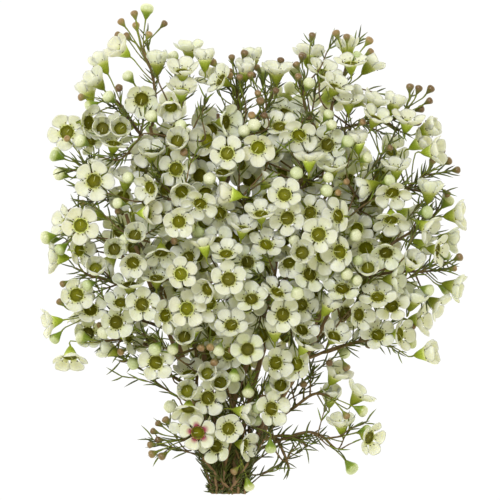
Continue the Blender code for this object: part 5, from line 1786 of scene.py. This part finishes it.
def banded_skin(name, stops, tints, spots, dark, relief, roughness, specular=0.4):
    """A material whose colours run from a shape's foot to its tip, under the plant skin."""
    tree, shader = nodes_for(name)
    colour = ramp(tree, flow_parts(tree)[1]["Z"], stops)
    height = skin(tree, shader, colour, tints, spots, dark, relief)
    gloss(tree, shader, height, *roughness, specular)


def cup_material(name, rim, lip):
    """From the green cone over the rim to the olive middle."""
    banded_skin(name, (
        (0.0, (0.27, 0.30, 0.03)), (0.25, (0.265, 0.315, 0.025)), (0.42, (0.38, 0.43, 0.06)),
        (0.49, rim), (0.57, lip), (0.64, (0.20, 0.20, 0.013)), (0.70, (0.09, 0.086, 0.002)),
        (0.84, (0.14, 0.132, 0.003)), (1.0, (0.19, 0.18, 0.005))), (
        (0.0, (0.72, 0.72, 0.7)), (0.3, (0.95, 0.95, 1.0)), (0.7, (1.15, 1.2, 1.2)),
        (1.0, (1.5, 1.65, 1.6))), 1900.0, 0.7, SKIN_RELIEF, (0.4, 0.6), 0.15)


def stalk_material():
    """Red-brown at the twig, yellow-green towards the cone."""
    banded_skin("stalk", (
        (0.0, (0.16, 0.12, 0.03)), (0.25, (0.20, 0.20, 0.03)), (0.6, (0.23, 0.265, 0.03)),
        (1.0, (0.23, 0.27, 0.025))), (
        (0.0, (0.7, 0.7, 0.7)), (1.0, (1.2, 1.2, 1.1))), 900.0, 0.75, SKIN_RELIEF, (0.4, 0.6))


def needle_material():
    """Dark olive green, each needle a little different."""
    banded_skin("needle", (
        (0.0, (0.13, 0.15, 0.028)), (0.25, (0.10, 0.118, 0.022)), (0.85, (0.105, 0.122, 0.024)),
        (1.0, (0.16, 0.12, 0.03))), (
        (0.0, (0.62, 0.65, 0.7)), (0.4, (1.15, 1.15, 1.0)), (0.75, (1.6, 1.7, 1.15)),
        (1.0, (2.1, 2.4, 1.25))), 2400.0, 0.7, SKIN_RELIEF, (0.34, 0.5))


def bud_material(name, stops, painted_seam_shade, tints):
    """A bud's colours from its cone to its tip, with painted shade darkening the seams of its petals."""
    tree, shader = nodes_for(name)
    parts = flow_parts(tree)[1]
    # Painted shade: colour darkened in the seams between the folded petals
    seams = ramp(tree, parts["X"], ((0.0, painted_seam_shade), (0.45, 1.0)))
    colour = times(tree, ramp(tree, parts["Z"], stops), seams)
    height = skin(tree, shader, colour, tints, 1500.0, 0.85, SKIN_RELIEF)
    gloss(tree, shader, height, 0.25, 0.42, 0.5, 0.15)


def stamen_material():
    """Pale filaments with dark anthers."""
    banded_skin("stamen", (
        (0.0, (0.62, 0.64, 0.26)), (0.5, (0.72, 0.73, 0.46)), (0.8, (0.10, 0.055, 0.015)),
        (1.0, (0.06, 0.033, 0.01))), (
        (0.0, (0.9, 0.9, 0.9)), (1.0, (1.1, 1.1, 1.1))), 3000.0, 0.8, SKIN_RELIEF / 2, (0.4, 0.6))


def wood_material(name, dark, light, scales, relief):
    """Bark or wood with streaks that run along it."""
    tree, shader = nodes_for(name)
    flow = flow_parts(tree)[0]
    streaks = streaks_of(tree, flow, scales, 2.2, 6.0)
    middle = tuple((a + b) / 2 for a, b in zip(dark, light))
    colour = ramp(tree, streaks, ((0.38, dark), (0.5, middle), (0.6, light)))
    tints = ((0.0, (0.8, 0.78, 0.78)), (1.0, (1.2, 1.15, 1.1)))
    height = skin(tree, shader, colour, tints, 420.0, 0.6, relief, streaks)
    gloss(tree, shader, height, 0.6, 0.85, 0.3)


def make_materials():
    """All the materials of the bunch."""
    plant_skin_group()
    petal_material("petal", (0.40, 0.43, 0.13), (0.64, 0.66, 0.38), 1.15)
    petal_material("blushed petal", (0.26, 0.025, 0.07), (0.40, 0.06, 0.16), 1.7)
    cup_material("cup", (0.56, 0.59, 0.20), (0.74, 0.73, 0.32))
    cup_material("blushed cup", (0.30, 0.05, 0.07), (0.24, 0.07, 0.03))
    stalk_material()
    needle_material()
    bud_material("pale bud", (
        (0.0, (0.19, 0.25, 0.025)), (0.3, (0.22, 0.32, 0.03)), (0.44, (0.36, 0.44, 0.09)),
        (0.53, (0.58, 0.63, 0.28)), (0.7, (0.74, 0.77, 0.55)), (1.0, (0.84, 0.85, 0.74))), 0.7, (
        (0.0, (0.72, 0.80, 0.62)), (0.3, (0.9, 0.95, 0.85)), (0.6, (1.0, 1.0, 1.0)),
        (1.0, (1.0, 1.0, 1.0))))
    bud_material("brown bud", (
        (0.0, (0.16, 0.185, 0.03)), (0.25, (0.19, 0.20, 0.04)), (0.42, (0.25, 0.20, 0.07)),
        (0.58, (0.29, 0.19, 0.10)), (0.8, (0.30, 0.18, 0.105)), (1.0, (0.20, 0.105, 0.065))), 0.6, (
        (0.0, (0.5, 0.43, 0.42)), (0.4, (0.9, 0.95, 0.9)), (0.8, (1.2, 1.25, 1.15)),
        (1.0, (1.5, 1.65, 1.45))))
    stamen_material()
    wood_material("bark", (0.02, 0.014, 0.007), (0.17, 0.12, 0.068), (3.6, 3.6, 0.7), 0.0006)
    wood_material("twig", (0.10, 0.065, 0.03), (0.26, 0.18, 0.095), (1.5, 1.5, 2.0), 0.0003)
    wood_material("cut wood", (0.42, 0.33, 0.19), (0.62, 0.53, 0.36), (1.0, 1.0, 3.0), 0.0002)


def frame_offset(bunch):
    """Where the layout's origin stands in the frame, in metres, by how far its repeats reach."""
    points = [v for spray in bunch.sprays for repeat in spray["repeats"] for v in repeat["shape"][0]]
    width = min(p.x for p in points) + max(p.x for p in points)
    low, high = cad_box
    return Vector(((low.x + high.x - width * MM) / 2, high.y - max(p.y for p in points) * MM,
                   high.z - max(p.z for p in points) * MM))


def build_sprays(bunch, offset, fixed):
    """A detailed piece for each spray, which stands for its CAD node."""
    draw = random.Random(SEED + 1)
    for spray in bunch.sprays:
        fine = FineMesh()
        add_fine_twig(fine, spray["route"], spray["radii"], draw)
        for root, tip in spray["shoots"]:
            add_fine_twig(fine, [root, root.lerp(tip, 0.5), tip], SHOOT_RADII, draw)
        for route in spray["front twigs"]:
            add_fine_twig(fine, route, FRONT_TWIG_RADII, draw)
        for number, repeat in enumerate(spray["repeats"]):
            if "sides" in repeat["kind"]:
                add_fine_bud(fine, repeat, draw)
            else:
                add_fine_blossom(fine, repeat, draw, number >= fixed[spray["name"]])
        for root, tip in spray["needles"]:
            add_fine_needle(fine, root, tip, draw)
        piece = fine.build(spray["name"] + "_in_bloom", offset)
        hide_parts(spray["name"])
        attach(piece, "root")


def build_stems(bunch, offset):
    """A detailed piece for each woody stem."""
    draw = random.Random(SEED + 2)
    for number, stem in enumerate(bunch.stems):
        fine = FineMesh()
        add_fine_stem(fine, stem, draw)
        for thin in THIN_STEMS[number::len(bunch.stems)]:
            add_thin_stem(fine, *thin, draw)
        piece = fine.build(stem["name"] + "_bark", offset)
        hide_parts(stem["name"])
        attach(piece, "root")


def studio(offset):
    """A white floor, soft light all round, and a large soft light above the upper left."""
    bpy.ops.mesh.primitive_plane_add(size=FLOOR_WIDTH, location=(0, 0, FLOOR_HEIGHT))
    floor = bpy.context.object
    floor.name = "studio_floor"
    tree, shader = nodes_for("white floor")
    shader.inputs["Roughness"].default_value = 1.0
    shader.inputs["Specular IOR Level"].default_value = 0.0
    shader.inputs["Emission Strength"].default_value = 1.0
    path = tree.nodes.new("ShaderNodeLightPath")
    for socket, cast, seen in (("Base Color", FLOOR_COLOUR, BLACK),
                               ("Emission Color", GLOW_COLOUR, FLOOR_SEEN)):
        mix = linked(tree, "ShaderNodeMix", (("Factor", path.outputs["Is Camera Ray"]),),
                     data_type="RGBA", clamp_result=False)
        mix.inputs["A"].default_value = cast
        mix.inputs["B"].default_value = seen
        tree.links.new(mix.outputs["Result"], shader.inputs[socket])
    floor.data.materials.append(bpy.data.materials["white floor"])
    scene = bpy.context.scene
    world = bpy.data.worlds.new("soft studio")
    world.use_nodes = True
    shade = world.node_tree.nodes["Background"]
    shade.inputs["Color"].default_value = SHADE_COLOUR
    shade.inputs["Strength"].default_value = SHADE_STRENGTH
    scene.world = world
    for name, place, size, power in LAMPS:
        lamp = bpy.data.lights.new(name, "AREA")
        lamp.size = size
        lamp.energy = power
        lamp.color = LAMP_COLOUR
        light = bpy.data.objects.new(name, lamp)
        light.location = place
        light.rotation_euler = (LAMP_AIM - Vector(place)).to_track_quat("-Z", "Y").to_euler()
        scene.collection.objects.link(light)
    lens = bpy.data.cameras.new("camera")
    lens.lens = HALF_FILM * CAMERA_DISTANCE / HALF_VIEW
    lens.clip_end = SIGHT_END
    camera = bpy.data.objects.new("camera", lens)
    camera.location = (offset.x, offset.y, CAMERA_DISTANCE + MIDDLE_HEIGHT)
    scene.collection.objects.link(camera)
    scene.camera = camera
    scene.view_settings.view_transform = "Standard"


def main():
    """Lay the bunch out, grow it and light it."""
    bunch = Bunch()
    bunch.grow()
    offset = frame_offset(bunch)
    fixed = {spray["name"]: len(spray["repeats"]) for spray in bunch.sprays}
    add_left_out(bunch)
    bunch.add_head_repeats(BROWN_BUD, EXTRA_BROWN_BUDS, (-3.0, 4.0), RULED_BUD_HEIGHTS)
    bunch.add_head_repeats(PALE_BUD, EXTRA_PALE_BUDS, (-2.0, 4.0), RULED_BUD_HEIGHTS)
    add_front_twigs(bunch)
    add_gap_blossoms(bunch)
    add_hole_blossoms(bunch)
    add_shoots(bunch)
    for spray in bunch.bearers():
        bunch.add_needles(spray, NEEDLES_PER_TWIG)
    make_materials()
    build_stems(bunch, offset)
    build_sprays(bunch, offset, fixed)
    studio(offset)


main()
